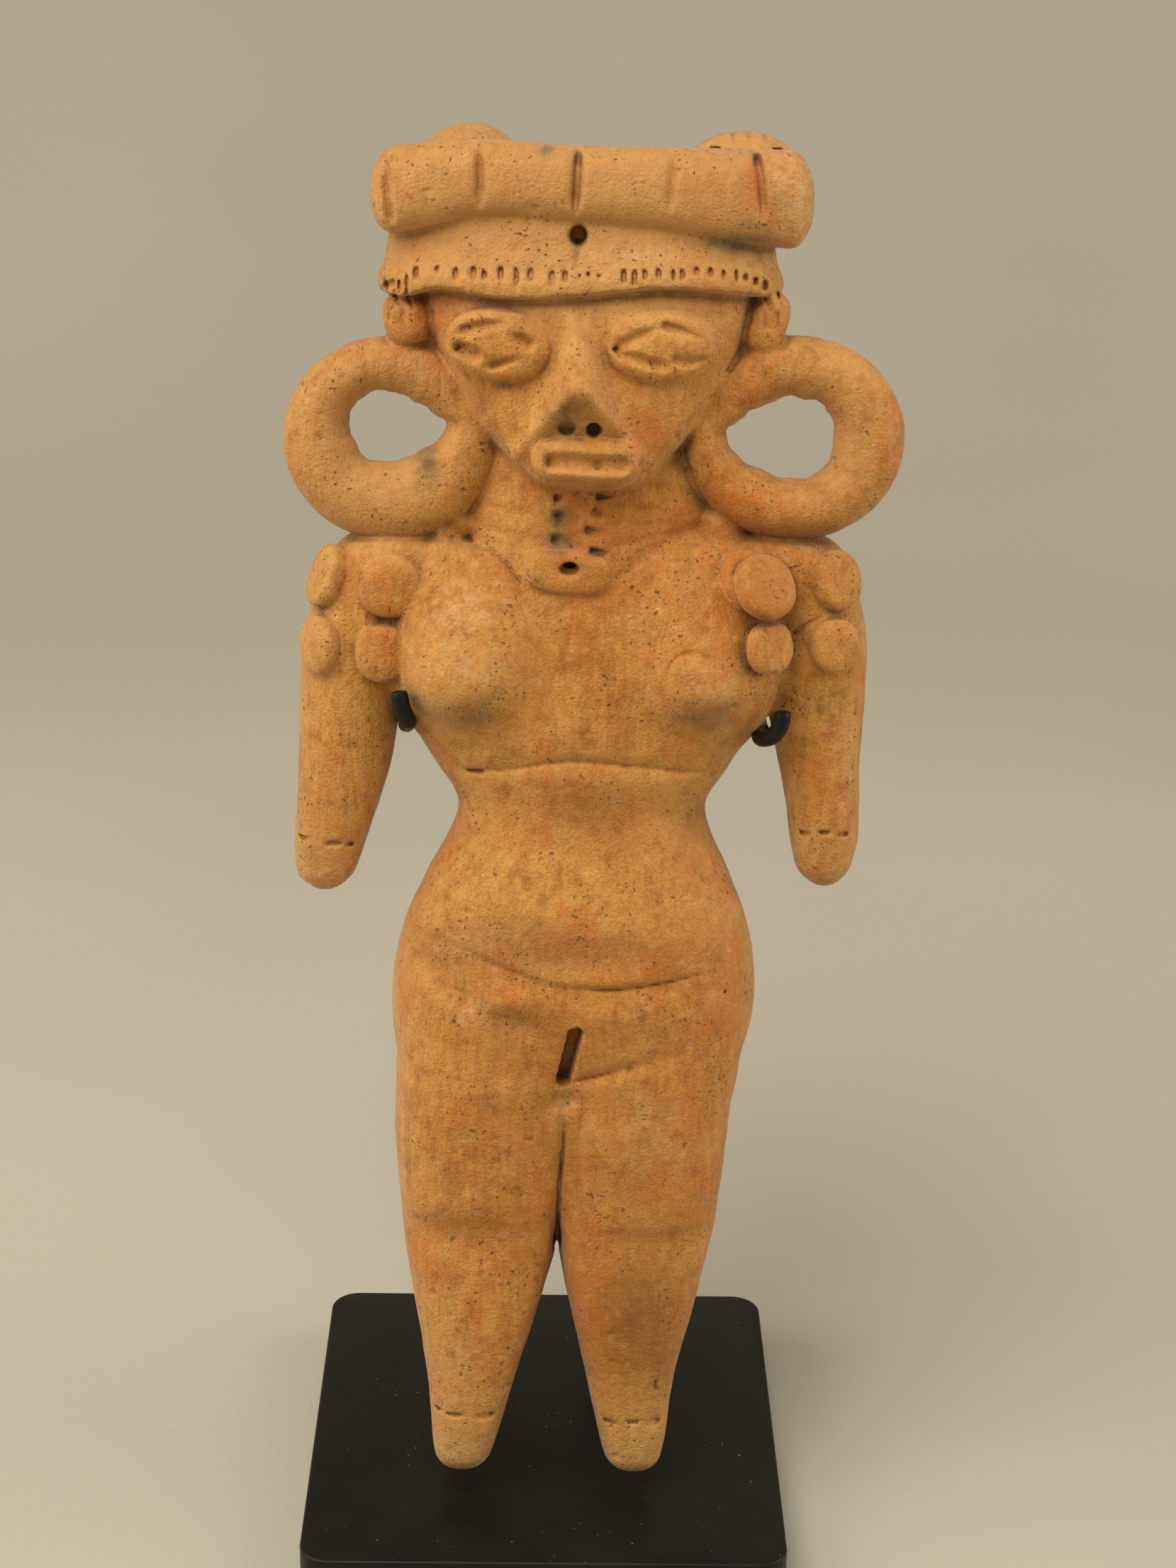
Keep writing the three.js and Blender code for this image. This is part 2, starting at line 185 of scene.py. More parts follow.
# Pellets pressed on the shoulders: x, height, half width, half height, and how far they stand out
PELLETS = [
    (-22.3, 97.9, 2.5, 3.2, 0.2),
    (-16.2, 97.3, 3.1, 3.0, 0.4),
    (-23.0, 91.4, 2.2, 2.9, 0.2),
    (-16.9, 90.9, 2.7, 2.9, 0.7),
    (18.4, 98.3, 2.9, 3.1, 0.5),
    (19.6, 97.9, 3.2, 3.2, 0.9),
    (27.2, 98.3, 2.6, 2.9, 0.2),
    (20.1, 92.3, 2.6, 2.6, 0.9),
    (27.2, 92.1, 2.5, 2.7, 0.2),
]


# Marks pressed into the front. Each is a path of (x, height), its half width, its depth, and the shares of its
# length over which it fades at its two ends
SOFT_FOLDS = [
    ([(-13.5, 64.6), (-8, 63.4), (-1.5, 61.6), (6, 60.6), (13, 61.4)], 4.2, 0.75, (0.35, 0.4)),
    ([(-14.4, 61.2), (-11.6, 58.6), (-8.3, 55.8), (-3.5, 53.4)], 2.2, 0.6, (0.3, 0.4)),
    ([(-7.5, 54.6), (-4.0, 54.0), (0.2, 54.6)], 2.4, 0.45, (0.4, 0.4)),
    ([(2.2, 47.0), (8.1, 49.0), (15.4, 51.2)], 1.3, 0.35, (0.1, 0.5)),
    ([(1.8, 45.5), (1.6, 42.7), (1.1, 34.2), (0.9, 26)], 1.1, 0.5, (0.1, 0.05)),
    ([(-9.8, 78.8), (-0.5, 80.1), (6, 80.2), (15.8, 78.8)], 1.4, 0.3, (0.2, 0.2)),
    ([(-11.5, 103.5), (-7.9, 101.5), (-5.1, 100.6), (-3.2, 98.6)], 1.3, 0.5, (0.1, 0.2)),
    ([(15.5, 103.2), (11.5, 102.4), (8.2, 100.4), (5.4, 98.8)], 1.3, 0.4, (0.1, 0.3)),
    ([(1.1, 105.4), (6.0, 105.5), (11.5, 104.8)], 0.7, 0.25, (0.3, 0.3)),
    ([(4.6, 103.8), (8, 103.7), (12.2, 103.9)], 0.6, 0.25, (0.3, 0.3)),
    ([(4.6, 101.5), (8.9, 102.6), (12.4, 103.2)], 0.6, 0.2, (0.3, 0.3)),
    ([(-9.5, 105.8), (-5.5, 104.9), (-1.2, 104.6)], 0.8, 0.2, (0.4, 0.3)),
    ([(-8.3, 103.6), (-5, 102.6), (-2.2, 102.4)], 0.7, 0.15, (0.4, 0.3)),
]
# Ledges drop sharply below their path and then fill up again over the fall, the last number
LEDGES = [
    ([(-14.5, 62.4), (-9.7, 61.4), (-5.4, 59.6), (1.2, 57.6), (9.5, 57.8), (16.8, 59.3)], 0.9, 0.55, (0.4, 0.3), 3.0),
    ([(-15.6, 30.9), (-9, 30.7), (-1.5, 30.4)], 1.8, 0.4, (0.25, 0.4), 4.2),
    ([(3.4, 29.8), (9, 29.5), (17, 29.9)], 1.8, 0.42, (0.35, 0.25), 4.2),
]
CREASES = [
    ([(2.6, 57.6), (6.6, 57.5), (12.6, 58.4), (16.2, 59.1)], 0.24, 0.4, (0.2, 0.3)),
    ([(-9.5, 61.2), (-5.4, 59.6), (-0.5, 58.1)], 0.3, 0.15, (0.4, 0.4)),
    ([(-10.4, 57.5), (-8.3, 55.2), (-5.4, 53.0)], 0.3, 0.15, (0.4, 0.4)),
    ([(2.4, 47.1), (5.5, 48.1), (9.5, 49.4)], 0.26, 0.35, (0.05, 0.6)),
    ([(1.8, 44.0), (1.6, 42.0), (1.4, 38.6), (1.1, 34.2), (1.0, 26)], 0.3, 0.75, (0.4, 0.02)),
    ([(1.1, 32.0), (1.0, 26)], 0.4, 1.4, (0.3, 0.02)),
    ([(-9.4, 78.9), (-4.2, 79.4), (-0.5, 80.2), (3.3, 80.4), (8.4, 79.9), (15.2, 78.9)], 0.34, 0.32, (0.1, 0.1)),
    ([(-8.9, 78.9), (-6.6, 79.0)], 0.35, 0.45, (0.2, 0.3)),
    ([(-10.0, 102.3), (-7.9, 101.2), (-5.8, 100.7), (-4.2, 99.1), (-3.0, 97.9)], 0.35, 0.5, (0.2, 0.1)),
    ([(5.4, 98.6), (6.6, 99.2), (7.8, 99.8)], 0.3, 0.35, (0.1, 0.6)),
    ([(26.0, 72.2), (26.3, 68.6)], 0.4, 0.14, (0.2, 0.5)),
    ([(-17.0, 127.0), (-16.4, 125.4)], 0.25, 0.4, (0.2, 0.3)),
    ([(-15.9, 125.6), (-15.1, 124.2)], 0.25, 0.4, (0.2, 0.3)),
    ([(-14.6, 125.4), (-13.9, 124.0)], 0.25, 0.4, (0.2, 0.3)),
    ([(19.4, 125.8), (20.2, 124.0)], 0.25, 0.4, (0.2, 0.3)),
    ([(20.5, 126.4), (21.4, 123.8)], 0.25, 0.4, (0.2, 0.3)),
    ([(27.9, 72.0), (27.6, 69.0)], 0.4, 0.12, (0.2, 0.5)),
    ([(23.0, 93.0), (23.6, 93.6), (24.9, 94.4), (26.4, 95.2)], 0.35, 0.4, (0.1, 0.4)),
    ([(11.7, 13.4), (11.4, 12.4), (11.8, 11.6)], 0.35, 0.5, (0.2, 0.2)),
    ([(13.8, 40.8), (13.6, 39.4)], 0.25, 0.35, (0.2, 0.2)),
    ([(-2.6, 40.8), (-1.6, 40.5)], 0.28, 0.4, (0.2, 0.2)),
    ([(-9.2, 64.9), (-7.6, 64.6)], 0.2, 0.2, (0.2, 0.2)),
]
EYE_SLITS = [
    ([(-9.9, 122.1), (-8.3, 122.7), (-6.7, 123.0), (-4.6, 123.3)], 0.8, 1.1, (0.2, 0.5)),
    ([(-5.2, 122.6), (-3.8, 121.8), (-2.4, 121.0)], 0.85, 1.0, (0.6, 0.15)),
    ([(-10.3, 121.3), (-9.0, 120.7), (-7.3, 119.9)], 0.95, 1.2, (0.3, 0.15)),
    ([(-7.0, 119.2), (-5.3, 119.6), (-2.9, 120.2)], 0.7, 1.0, (0.15, 0.8)),
    ([(5.0, 120.9), (6.9, 121.9), (8.3, 122.6), (9.7, 123.3)], 0.95, 0.8, (0.15, 0.5)),
    ([(9.4, 123.3), (11.3, 122.8), (13.9, 121.8)], 0.65, 0.9, (0.05, 0.7)),
    ([(5.0, 121.2), (5.9, 120.2)], 0.45, 0.9, (0.1, 0.1)),
    ([(5.8, 120.5), (7.4, 120.1), (9.2, 119.6), (10.7, 119.3)], 0.75, 0.75, (0.1, 0.3)),
    ([(10.4, 120.4), (11.4, 119.9), (12.8, 120.0), (14.5, 120.5)], 0.75, 0.75, (0.1, 0.7)),
]
ROLL_SLITS = [
    ([(-16.5, 138.2), (-16.2, 135.5), (-15.8, 131.7)], 0.8, 0.8, (0.5, 0.2)),
    ([(-7.7, 139.7), (-7.6, 136.4), (-7.6, 133.5)], 0.8, 0.9, (0.4, 0.3)),
    ([(1.5, 139.7), (1.35, 135.8), (1.2, 132.9)], 0.85, 1.15, (0.3, 0.3)),
    ([(10.5, 139.6), (10.1, 136.1), (9.9, 133.2)], 0.75, 0.5, (0.4, 0.3)),
    ([(17.9, 139.4), (18.5, 136.2), (18.8, 132.2)], 0.8, 1.05, (0.2, 0.4)),
]
# Pricks in the front: x, height, half width, half height
HEM_PRICKS = [
    (-16.4, 126.3, 0.3, 0.3),
    (-15.8, 126.3, 0.3, 0.5),
    (-15.2, 126.3, 0.2, 0.5),
    (-14.5, 126.5, 0.25, 0.8),
    (-13.6, 127.5, 0.25, 0.6),
    (-11.6, 128.0, 0.2, 0.3),
    (-9.8, 127.6, 0.3, 0.55),
    (-8.2, 127.7, 0.33, 0.6),
    (-7.2, 127.6, 0.26, 0.4),
    (-5.6, 127.8, 0.33, 0.55),
    (-4.2, 127.5, 0.27, 0.8),
    (-2.8, 127.7, 0.33, 0.55),
    (-0.8, 127.4, 0.35, 0.7),
    (0.4, 127.6, 0.25, 0.5),
    (1.8, 127.7, 0.15, 0.2),
    (2.6, 127.8, 0.17, 0.3),
    (3.6, 127.7, 0.17, 0.25),
    (5.9, 127.7, 0.3, 0.6),
    (6.9, 127.6, 0.28, 0.7),
    (7.8, 127.9, 0.25, 0.5),
    (9.1, 128.0, 0.25, 0.5),
    (10.5, 127.9, 0.25, 0.5),
    (11.3, 127.9, 0.28, 0.5),
    (12.7, 128.2, 0.35, 0.35),
    (14.0, 128.1, 0.3, 0.4),
    (15.3, 127.9, 0.22, 0.4),
    (16.5, 127.8, 0.22, 0.5),
    (17.4, 127.6, 0.22, 0.4),
    (18.4, 127.2, 0.28, 0.4),
    (19.3, 126.8, 0.33, 0.5),
]
# Wedges stabbed into the neck, deepest at their start and running out: path, half width
NECK_STABS = [
    ([(-0.5, 106.2), (1.4, 106.5)], 0.8),
    ([(-0.3, 104.4), (1.5, 104.9)], 0.85),
    ([(-0.6, 102.0), (1.1, 102.6)], 1.0),
    ([(3.5, 106.4), (5.8, 106.8)], 0.75),
    ([(3.2, 105.0), (5.4, 104.6)], 0.8),
    ([(2.6, 103.2), (4.9, 102.8)], 0.8),
    ([(3.0, 101.2), (5.4, 101.0)], 0.6),
]
FINGER_PRICKS = [
    (-25.0, 71.2, 0.5, 0.22),
    (-22.0, 70.8, 0.8, 0.25),
    (-20.5, 70.6, 0.4, 0.2),
    (25.3, 72.4, 0.5, 0.22),
    (27.2, 72.7, 0.6, 0.25),
    (29.0, 72.4, 0.6, 0.28),
]
TOE_PRICKS = [
    (-11.2, 9.2, 0.4, 0.2),
    (-9.5, 9.0, 0.8, 0.22),
    (-6.4, 8.8, 0.85, 0.32),
    (6.9, 8.1, 0.7, 0.22),
    (9.2, 8.4, 0.7, 0.22),
    (11.5, 8.1, 0.5, 0.4),
]


# Stains on the front, with painted shade, painted highlights and a painted rim of light among them: x, height, half
# width, half height and strength of each, by what they are
STAINS = {
    # Grey-green dirt and soot left in the hollows, and grey painted shade under the left eye, under the nose, under
    # the right ear ring and under the breasts
    "earth_and_shade": [
        # Painted shade under the left eye's pad
        (-5.2, 117.4, 0.9, 0.5, 0.9),
        (-6.4, 111.8, 0.6, 1.2, 0.8),
        (11.8, 110.4, 1.6, 1.8, 0.6),
        # Painted shade on the underside of the nose, this spot and the next
        (0.6, 114.6, 2.0, 2.2, 0.75),
        (2.0, 115.6, 1.2, 1.6, 0.4),
        (1.2, 108.6, 3.0, 0.6, 0.35),
        (0.2, 104.5, 1.5, 1.0, 1.0),
        (0.2, 102.2, 1.6, 1.1, 1.0),
        (2.4, 99.7, 0.8, 0.9, 0.6),
        (-2.0, 98.6, 0.6, 0.5, 0.7),
        (0.6, 95.9, 1.8, 0.4, 0.5),
        (-12.7, 110.3, 1.2, 3.2, 0.9),
        (-10.2, 101.6, 3.0, 0.8, 0.4),
        (-1.4, 139.2, 0.9, 0.7, 0.9),
        (16.6, 130.8, 3.4, 0.9, 1.0),
        (17.0, 132.4, 1.3, 0.8, 0.5),
        (20.6, 134.4, 1.8, 1.6, 0.45),
        (1.5, 129.6, 0.5, 1.2, 0.6),
        # Painted shade under the breasts, this spot and the next two
        (-7.0, 86.0, 2.6, 2.2, 0.5),
        (-13.0, 86.6, 1.2, 1.6, 0.45),
        (14.8, 86.0, 3.4, 1.8, 0.55),
        (26.3, 86.6, 2.6, 2.2, 0.6),
        # Painted shade under the right ear ring
        (24.5, 101.5, 3.4, 0.7, 0.5),
        (16.6, 52.6, 0.8, 1.2, 0.4),
        (-4.6, 53.6, 3.4, 1.4, 0.35),
        (11.6, 12.6, 0.6, 1.0, 0.6),
    ],
    # The grey-green dirt again, but only down in the slits and pricks
    "fill": [
        (-8.2, 122.7, 2.4, 0.7, 1.0),
        (-9.2, 120.8, 2.2, 0.9, 1.0),
        (0.7, 113.5, 0.9, 0.7, 1.0),
        (-0.8, 110.2, 0.8, 0.8, 0.6),
        (3.8, 110.1, 0.8, 0.6, 1.0),
        (0.3, 106.3, 1.2, 0.9, 1.0),
        (4.4, 106.5, 1.3, 0.8, 1.0),
        (4.0, 104.9, 1.2, 0.9, 1.0),
        (3.5, 103.0, 1.2, 0.9, 1.0),
        (4.0, 101.1, 1.1, 0.6, 1.0),
        (17.6, 139.3, 4.2, 0.8, 1.0),
        (1.4, 48.2, 0.8, 0.9, 1.0),
        (-10.2, 9.1, 2.2, 0.5, 1.0),
        (-6.6, 8.8, 1.1, 0.8, 1.0),
        (9.0, 8.1, 3.2, 0.5, 1.0),
        (26.5, 73.1, 3.2, 0.5, 1.0),
        (-22.6, 71.3, 3.4, 0.5, 1.0),
    ],
    # Darker brown from burnishing and handling, and brown painted shade below the knees, along the belly folds, under
    # the breasts and on the lower sides of the ear rings
    "umber": [
        (9.6, 21.0, 5.0, 9.0, 0.75),
        # Painted shade below the knee ledges, this spot and the next
        (10.5, 29.2, 5.5, 1.6, 0.5),
        (-8.6, 30.2, 5.5, 1.6, 0.5),
        (9.0, 38.0, 5.0, 5.0, 0.3),
        # Painted shade along the folds of the belly, this spot and the next three
        (-2.0, 61.4, 12.0, 2.6, 0.6),
        (10.0, 60.2, 6.0, 2.0, 0.4),
        (-4.0, 54.2, 4.0, 1.4, 0.6),
        (10.5, 53.0, 4.5, 1.2, 0.35),
        (4.0, 75.4, 7.0, 3.6, 0.5),
        (13.6, 74.0, 2.4, 3.4, 0.5),
        (1.4, 41.0, 1.0, 6.0, 0.4),
        # Painted shade under the breasts, this spot and the next
        (-9.0, 85.6, 3.6, 1.8, 0.45),
        (14.2, 85.8, 4.0, 1.8, 0.5),
        (2.5, 103.0, 5.0, 4.0, 0.35),
        # Painted shade on the lower sides of the ear rings, this spot and the next
        (23.0, 103.6, 7.0, 1.0, 0.5),
        (-12.0, 103.4, 6.0, 0.8, 0.4),
        (13.4, 120.0, 1.2, 5.0, 0.3),
    ],
    # Duller, weathered clay, and a paler painted rim of light down the sides of the hips
    "worn_and_rim_light": [
        (2.0, 133.0, 30.0, 10.0, 1.0),
        (-18.0, 111.5, 8.0, 11.0, 1.0),
        (26.0, 111.8, 7.0, 11.0, 0.7),
        (-8.6, 5.0, 6.0, 10.0, 1.0),
        (9.4, 4.0, 6.0, 8.0, 0.9),
        (-24.0, 68.0, 6.0, 7.0, 0.8),
        (27.4, 69.0, 6.0, 7.0, 0.6),
        (-24.0, 95.0, 4.0, 8.0, 0.6),
        # Painted rim of light down the sides of the hips, this spot and the next
        (-18.0, 52.0, 3.0, 16.0, 0.6),
        (20.0, 50.0, 3.0, 16.0, 0.5),
        (-6.0, 62.0, 5.0, 4.0, 0.4),
        (-9.0, 90.0, 5.0, 6.0, 0.5),
        (14.0, 90.0, 5.0, 5.0, 0.4),
        (3.0, 111.0, 6.0, 3.0, 0.6),
    ],
    # Orange-red blushes
    "blush": [
        (8.9, 113.2, 1.8, 2.0, 0.9),
        (17.7, 136.2, 1.1, 2.0, 0.9),
        (19.4, 133.6, 0.9, 1.4, 0.7),
        (-6.8, 112.9, 1.4, 1.2, 0.4),
        (15.7, 53.4, 1.6, 1.8, 0.6),
        (14.4, 31.6, 3.2, 1.6, 0.4),
        (10.2, 30.4, 4.5, 0.7, 0.45),
        (20.2, 98.0, 3.0, 2.8, 0.5),
        (0.8, 62.8, 1.2, 1.0, 0.5),
        (-7.8, 22.6, 2.0, 3.0, 0.35),
        (19.0, 116.6, 2.0, 1.4, 0.4),
        (15.4, 95.6, 2.4, 3.0, 0.35),
        (12.8, 70.4, 2.2, 3.0, 0.3),
    ],
    # Pale rubbed patches, and painted highlights on the chest and the left of the belly
    "pale": [
        (21.8, 134.4, 2.2, 3.6, 0.8),
        (18.6, 129.2, 2.2, 1.0, 0.6),
        (8.2, 129.7, 3.2, 0.6, 0.5),
        # Painted highlights on the upper chest and the breasts, this spot and the next two
        (-8.8, 95.9, 2.6, 1.8, 0.6),
        (-7.8, 89.4, 2.6, 1.4, 0.5),
        (15.6, 88.2, 2.2, 1.2, 0.6),
        # Painted highlight on the left of the belly
        (-8.0, 55.3, 2.0, 1.6, 0.5),
        (-8.6, 3.0, 4.0, 3.2, 0.7),
        (9.4, 2.6, 3.4, 3.2, 0.55),
        (-9.4, 13.6, 3.8, 5.0, 0.3),
        (11.4, 41.0, 3.0, 3.2, 0.3),
        (1.8, 44.8, 0.9, 1.8, 0.7),
        (-22.8, 66.6, 3.2, 2.4, 0.45),
        (28.0, 67.8, 2.6, 2.6, 0.35),
        (-2.0, 108.8, 1.6, 0.6, 0.3),
    ],
}


def curve_at(rows, heights):
    """The values of the rows at these heights, on a smooth curve through them, one array for each column."""
    table = np.array(rows, float)
    knots = table[:, 0]
    values = table[:, 1:]
    slopes = np.empty_like(values)
    slopes[1:-1] = (values[2:] - values[:-2]) / (knots[2:] - knots[:-2])[:, None]
    slopes[0] = 1.5 * (values[1] - values[0]) / (knots[1] - knots[0]) - slopes[1] / 2
    slopes[-1] = 1.5 * (values[-1] - values[-2]) / (knots[-1] - knots[-2]) - slopes[-2] / 2
    place = np.clip(heights, knots[0], knots[-1])
    i = np.clip(np.searchsorted(knots, place, side="right") - 1, 0, len(knots) - 2)
    span = knots[i + 1] - knots[i]
    t = ((place - knots[i]) / span)[:, None]
    start = (1 + 2 * t) * (1 - t) ** 2 * values[i] + t * (1 - t) ** 2 * span[:, None] * slopes[i]
    end = t * t * (3 - 2 * t) * values[i + 1] + t * t * (t - 1) * span[:, None] * slopes[i + 1]
    return list((start + end).T.astype(np.float32))


def smooth_line(points, spacing=0.4):
    """Points along a smooth curve through the given ones, for any number of coordinates."""
    points = np.array(points, float)
    lengths = np.linalg.norm(np.diff(points, axis=0), axis=1)
    along = np.concatenate([[0], np.cumsum(lengths)])
    if len(points) == 2:
        rows = [[along[0], *points[0]], [along[1] / 2, *points.mean(0)], [along[1], *points[1]]]
    else:
        rows = np.column_stack([along, points])
    count = max(3, int(along[-1] / spacing) + 1)
    return np.stack(curve_at(rows, np.linspace(0, along[-1], count)), axis=1)


def smooth_min(a, b, blend):
    """The lesser of two distances, with the corner between them rounded over the blend."""
    near = np.maximum(blend - np.abs(a - b), 0) / blend
    return np.minimum(a, b) - near**3 * blend / 6


def smooth_step(low, high, value):
    share = np.clip((value - low) / (high - low), 0, 1)
    return share * share * (3 - 2 * share)


def as_distance(ratio):
    """Turns a ratio that is 1 on a form's surface into a distance in millimetres."""
    slopes = np.gradient(ratio, CELL)
    steepness = np.sqrt(sum(slope * slope for slope in slopes))
    return (ratio - 1) / np.maximum(steepness, 1e-3)


class Clay:
    """A lump of clay as distances from its surface, negative inside, that forms are joined to and cut from."""

    def __init__(self):
        self.axes = [np.arange(low, high, CELL, dtype=np.float32) for low, high in zip(LOW, HIGH)]
        self.field = np.full([len(axis) for axis in self.axes], FAR, np.float32)

    def window(self, low, high, margin):
        """The cells between two corners: their slices, and their x, front and height."""
        cuts = []
        for axis, start, stop in zip(self.axes, low, high):
            first = max(0, int((start - margin - axis[0]) / CELL))
            last = min(len(axis), int((stop + margin - axis[0]) / CELL) + 2)
            cuts.append(slice(first, last))
        x, front, height = [axis[cut] for axis, cut in zip(self.axes, cuts)]
        return tuple(cuts), (x[:, None, None], front[None, :, None], height[None, None, :])

    def add(self, form, blend):
        distance, low, high = form
        cuts, place = self.window(low, high, blend + 1)
        self.field[cuts] = smooth_min(self.field[cuts], distance(*place), blend)

    def cut(self, form, blend):
        distance, low, high = form
        cuts, place = self.window(low, high, blend + 1)
        self.field[cuts] = -smooth_min(-self.field[cuts], distance(*place), blend)

    def press(self, path, half_width, depth, fade=(0.15, 0.15), fall=0, rise=1.0, behind=-1.0):
        """Presses a groove along a path on the front. With a fall it is a ledge that fills up again below."""
        line = smooth_line(path, 0.3)
        reach = max(half_width, fall) + CELL
        low = (line[:, 0].min(), behind, line[:, 1].min())
        high = (line[:, 0].max(), HIGH[1], line[:, 1].max())
        cuts, (x, front, height) = self.window(low, high, reach)
        off, below, share = path_distance(line, x[:, :, 0], height[0])
        taper = smooth_step(-0.01, fade[0], share) * smooth_step(-0.01, fade[1], 1 - share)
        width = half_width * (0.4 + 0.6 * taper)
        if fall:
            width = np.where(below, fall, width)
        groove = depth * taper * smooth_step(0, rise, 1 - off / width)
        self.field[cuts] += groove[:, None, :] * smooth_step(behind, behind + 1, front)

    def prick(self, x, height, half_width, half_height, depth, behind=-1.0):
        """Presses a small oval hole into the front."""
        size = np.array((half_width, half_height)) + CELL
        low = (x - size[0], behind, height - size[1])
        high = (x + size[0], HIGH[1], height + size[1])
        cuts, (across, front, up) = self.window(low, high, CELL)
        off = np.hypot((across - x) / half_width, (up - height) / half_height) - 0.4
        self.field[cuts] += depth * smooth_step(0, 0.6, 1 - off) * smooth_step(behind, behind + 1, front)

    def surface_at(self, x, height):
        """The front surface's depth at a place, and the direction that it faces."""
        i = int(round((x - LOW[0]) / CELL))
        k = int(round((height - LOW[2]) / CELL))
        column = self.field[i, :, k]
        j = np.nonzero(column < 0)[0].max()
        front = self.axes[1][j] - CELL * column[j] / (column[j + 1] - column[j])
        block = self.field[i - 3 : i + 4, j - 2 : j + 4, k - 3 : k + 4]
        facing = np.array([slope.mean() for slope in np.gradient(block)])
        return front, facing / np.linalg.norm(facing)


def path_distance(line, x, height):
    """How far each place lies from a line seen from the front, whether below it, and how far along it."""
    nearest = np.full(np.broadcast_shapes(x.shape, height.shape), FAR**2, np.float32)
    below = np.zeros(nearest.shape, bool)
    along = np.zeros(nearest.shape, np.float32)
    for i in range(len(line) - 1):
        start = line[i]
        step = line[i + 1] - start
        share = ((x - start[0]) * step[0] + (height - start[1]) * step[1]) / max(float(step @ step), 1e-9)
        share = np.clip(share, 0, 1)
        up = height - start[1] - share * step[1]
        off = np.hypot(x - start[0] - share * step[0], up)
        closer = off < nearest
        nearest = np.where(closer, off, nearest)
        below = np.where(closer, up < 0, below)
        along = np.where(closer, (i + share) / (len(line) - 1), along)
    return nearest, below, along


def loft(rows, power=2.4, side=0, shift=0.0, domes=(2.0, 2.0), hem=None):
    """A form along a profile, rounded at both ends. Side is -1 or 1 for a limb. A hem lifts the form along x."""
    low = rows[0][0]
    high = rows[-1][0]

    def distance(x, front, height):
        level = height
        if hem:
            rise = curve_at(hem, x.ravel())[0][:, None, None]
            level = height - rise * smooth_step(high - 1, low, height)
        columns = [column.reshape(level.shape) for column in curve_at(rows, level.ravel())]
        middle = curve_at(MIDLINE, level.ravel())[0].reshape(level.shape) + shift
        if side:
            inner, outer, ahead, behind = columns
            centre = middle + side * (inner + outer) / 2
            half = (outer - inner) / 2
        else:
            half, ahead, behind = columns
            centre = middle
        across = np.abs(x - centre) / half
        along = np.abs(front - (ahead - behind) / 2) * 2 / (ahead + behind)
        section = (across**power + along**power) ** (1 / power)
        below = (low + domes[0] - level) / domes[0]
        above = (level - high + domes[1]) / domes[1]
        beyond = np.maximum(0, np.maximum(below, above))
        return as_distance(np.hypot(section, beyond))

    reach = max(row[-3] for row in rows) + 3
    start = -reach if side <= 0 else -4
    stop = reach + 3 if side >= 0 else 6
    return distance, (start, -14, low - 1), (stop, 15, high + 1)


def turned(tilt=0, turn=0, nod=0):
    """Axes of a form tilted in the front plane, nodded, then turned sideways, all in degrees."""
    tilted = Matrix.Rotation(-math.radians(tilt), 3, "Y")
    nodded = Matrix.Rotation(math.radians(nod), 3, "X")
    swung = Matrix.Rotation(math.radians(turn), 3, "Z")
    flip = Matrix.Diagonal((1, -1, 1))
    return np.array(flip @ swung @ nodded @ tilted @ flip)


def rounded(centre, half, axes=None, power=2.0, oval=2.0):
    """An ellipsoid. A higher power gives it a flatter front and a steeper edge, a higher oval squarer corners."""
    axes = np.eye(3) if axes is None else axes

    def distance(x, front, height):
        away = (x - centre[0], front - centre[1], height - centre[2])
        local = [sum(axes[row][column] * away[row] for row in range(3)) / half[column] for column in range(3)]
        flat = (np.abs(local[0]) ** oval + np.abs(local[2]) ** oval) ** (1 / oval)
        ratio = (flat**power + np.abs(local[1]) ** power) ** (1 / power)
        return as_distance(ratio)

    reach = max(half)
    return distance, [c - reach for c in centre], [c + reach for c in centre]


def log(rows, blunt):
    """A round bar lying across, of changing radius, with blunt ends."""
    left = rows[0][0]
    right = rows[-1][0]

    def distance(x, front, height):
        ahead, up, radius = [column[:, None, None] for column in curve_at(rows, x.ravel())]
        section = (np.abs((front - ahead) / radius) ** 2.6 + np.abs((height - up) / radius) ** 2.6) ** (1 / 2.6)
        beyond = np.maximum(0, np.maximum(left + blunt - x, x - right + blunt)) / blunt
        return as_distance(np.hypot(section, beyond))

    low = np.min(rows, axis=0)
    high = np.max(rows, axis=0)
    reach = high[3]
    return distance, (left, low[1] - reach, low[2] - reach), (right, high[1] + reach, high[2] + reach)


def plane_through(a, b, c):
    """The distance from the plane through three corners, positive on the side that they turn left around."""
    a, b, c = np.array(a, float), np.array(b, float), np.array(c, float)
    normal = np.cross(b - a, c - a)
    normal /= np.linalg.norm(normal)
    return lambda x, front, height: sum(n * (p - o) for n, p, o in zip(normal, (x, front, height), a))


def nose():
    """The pyramid nose: two flanks, an underside and a back inside the head, its edges rounded."""
    left, right = NOSE_WINGS
    sides = [
        plane_through(NOSE_BRIDGE, NOSE_TIP, left),
        plane_through(NOSE_BRIDGE, right, NOSE_TIP),
        plane_through(NOSE_TIP, right, left),
    ]

    def distance(x, front, height):
        left_flank, right_flank, underside = [side(x, front, height) for side in sides]
        depth = -smooth_min(-left_flank, -right_flank, 3.6)
        depth = -smooth_min(-depth, -underside, 0.9)
        return np.maximum(depth, 7.5 - front)

    return distance, (-7, 6, 108), (10, 15, 128)


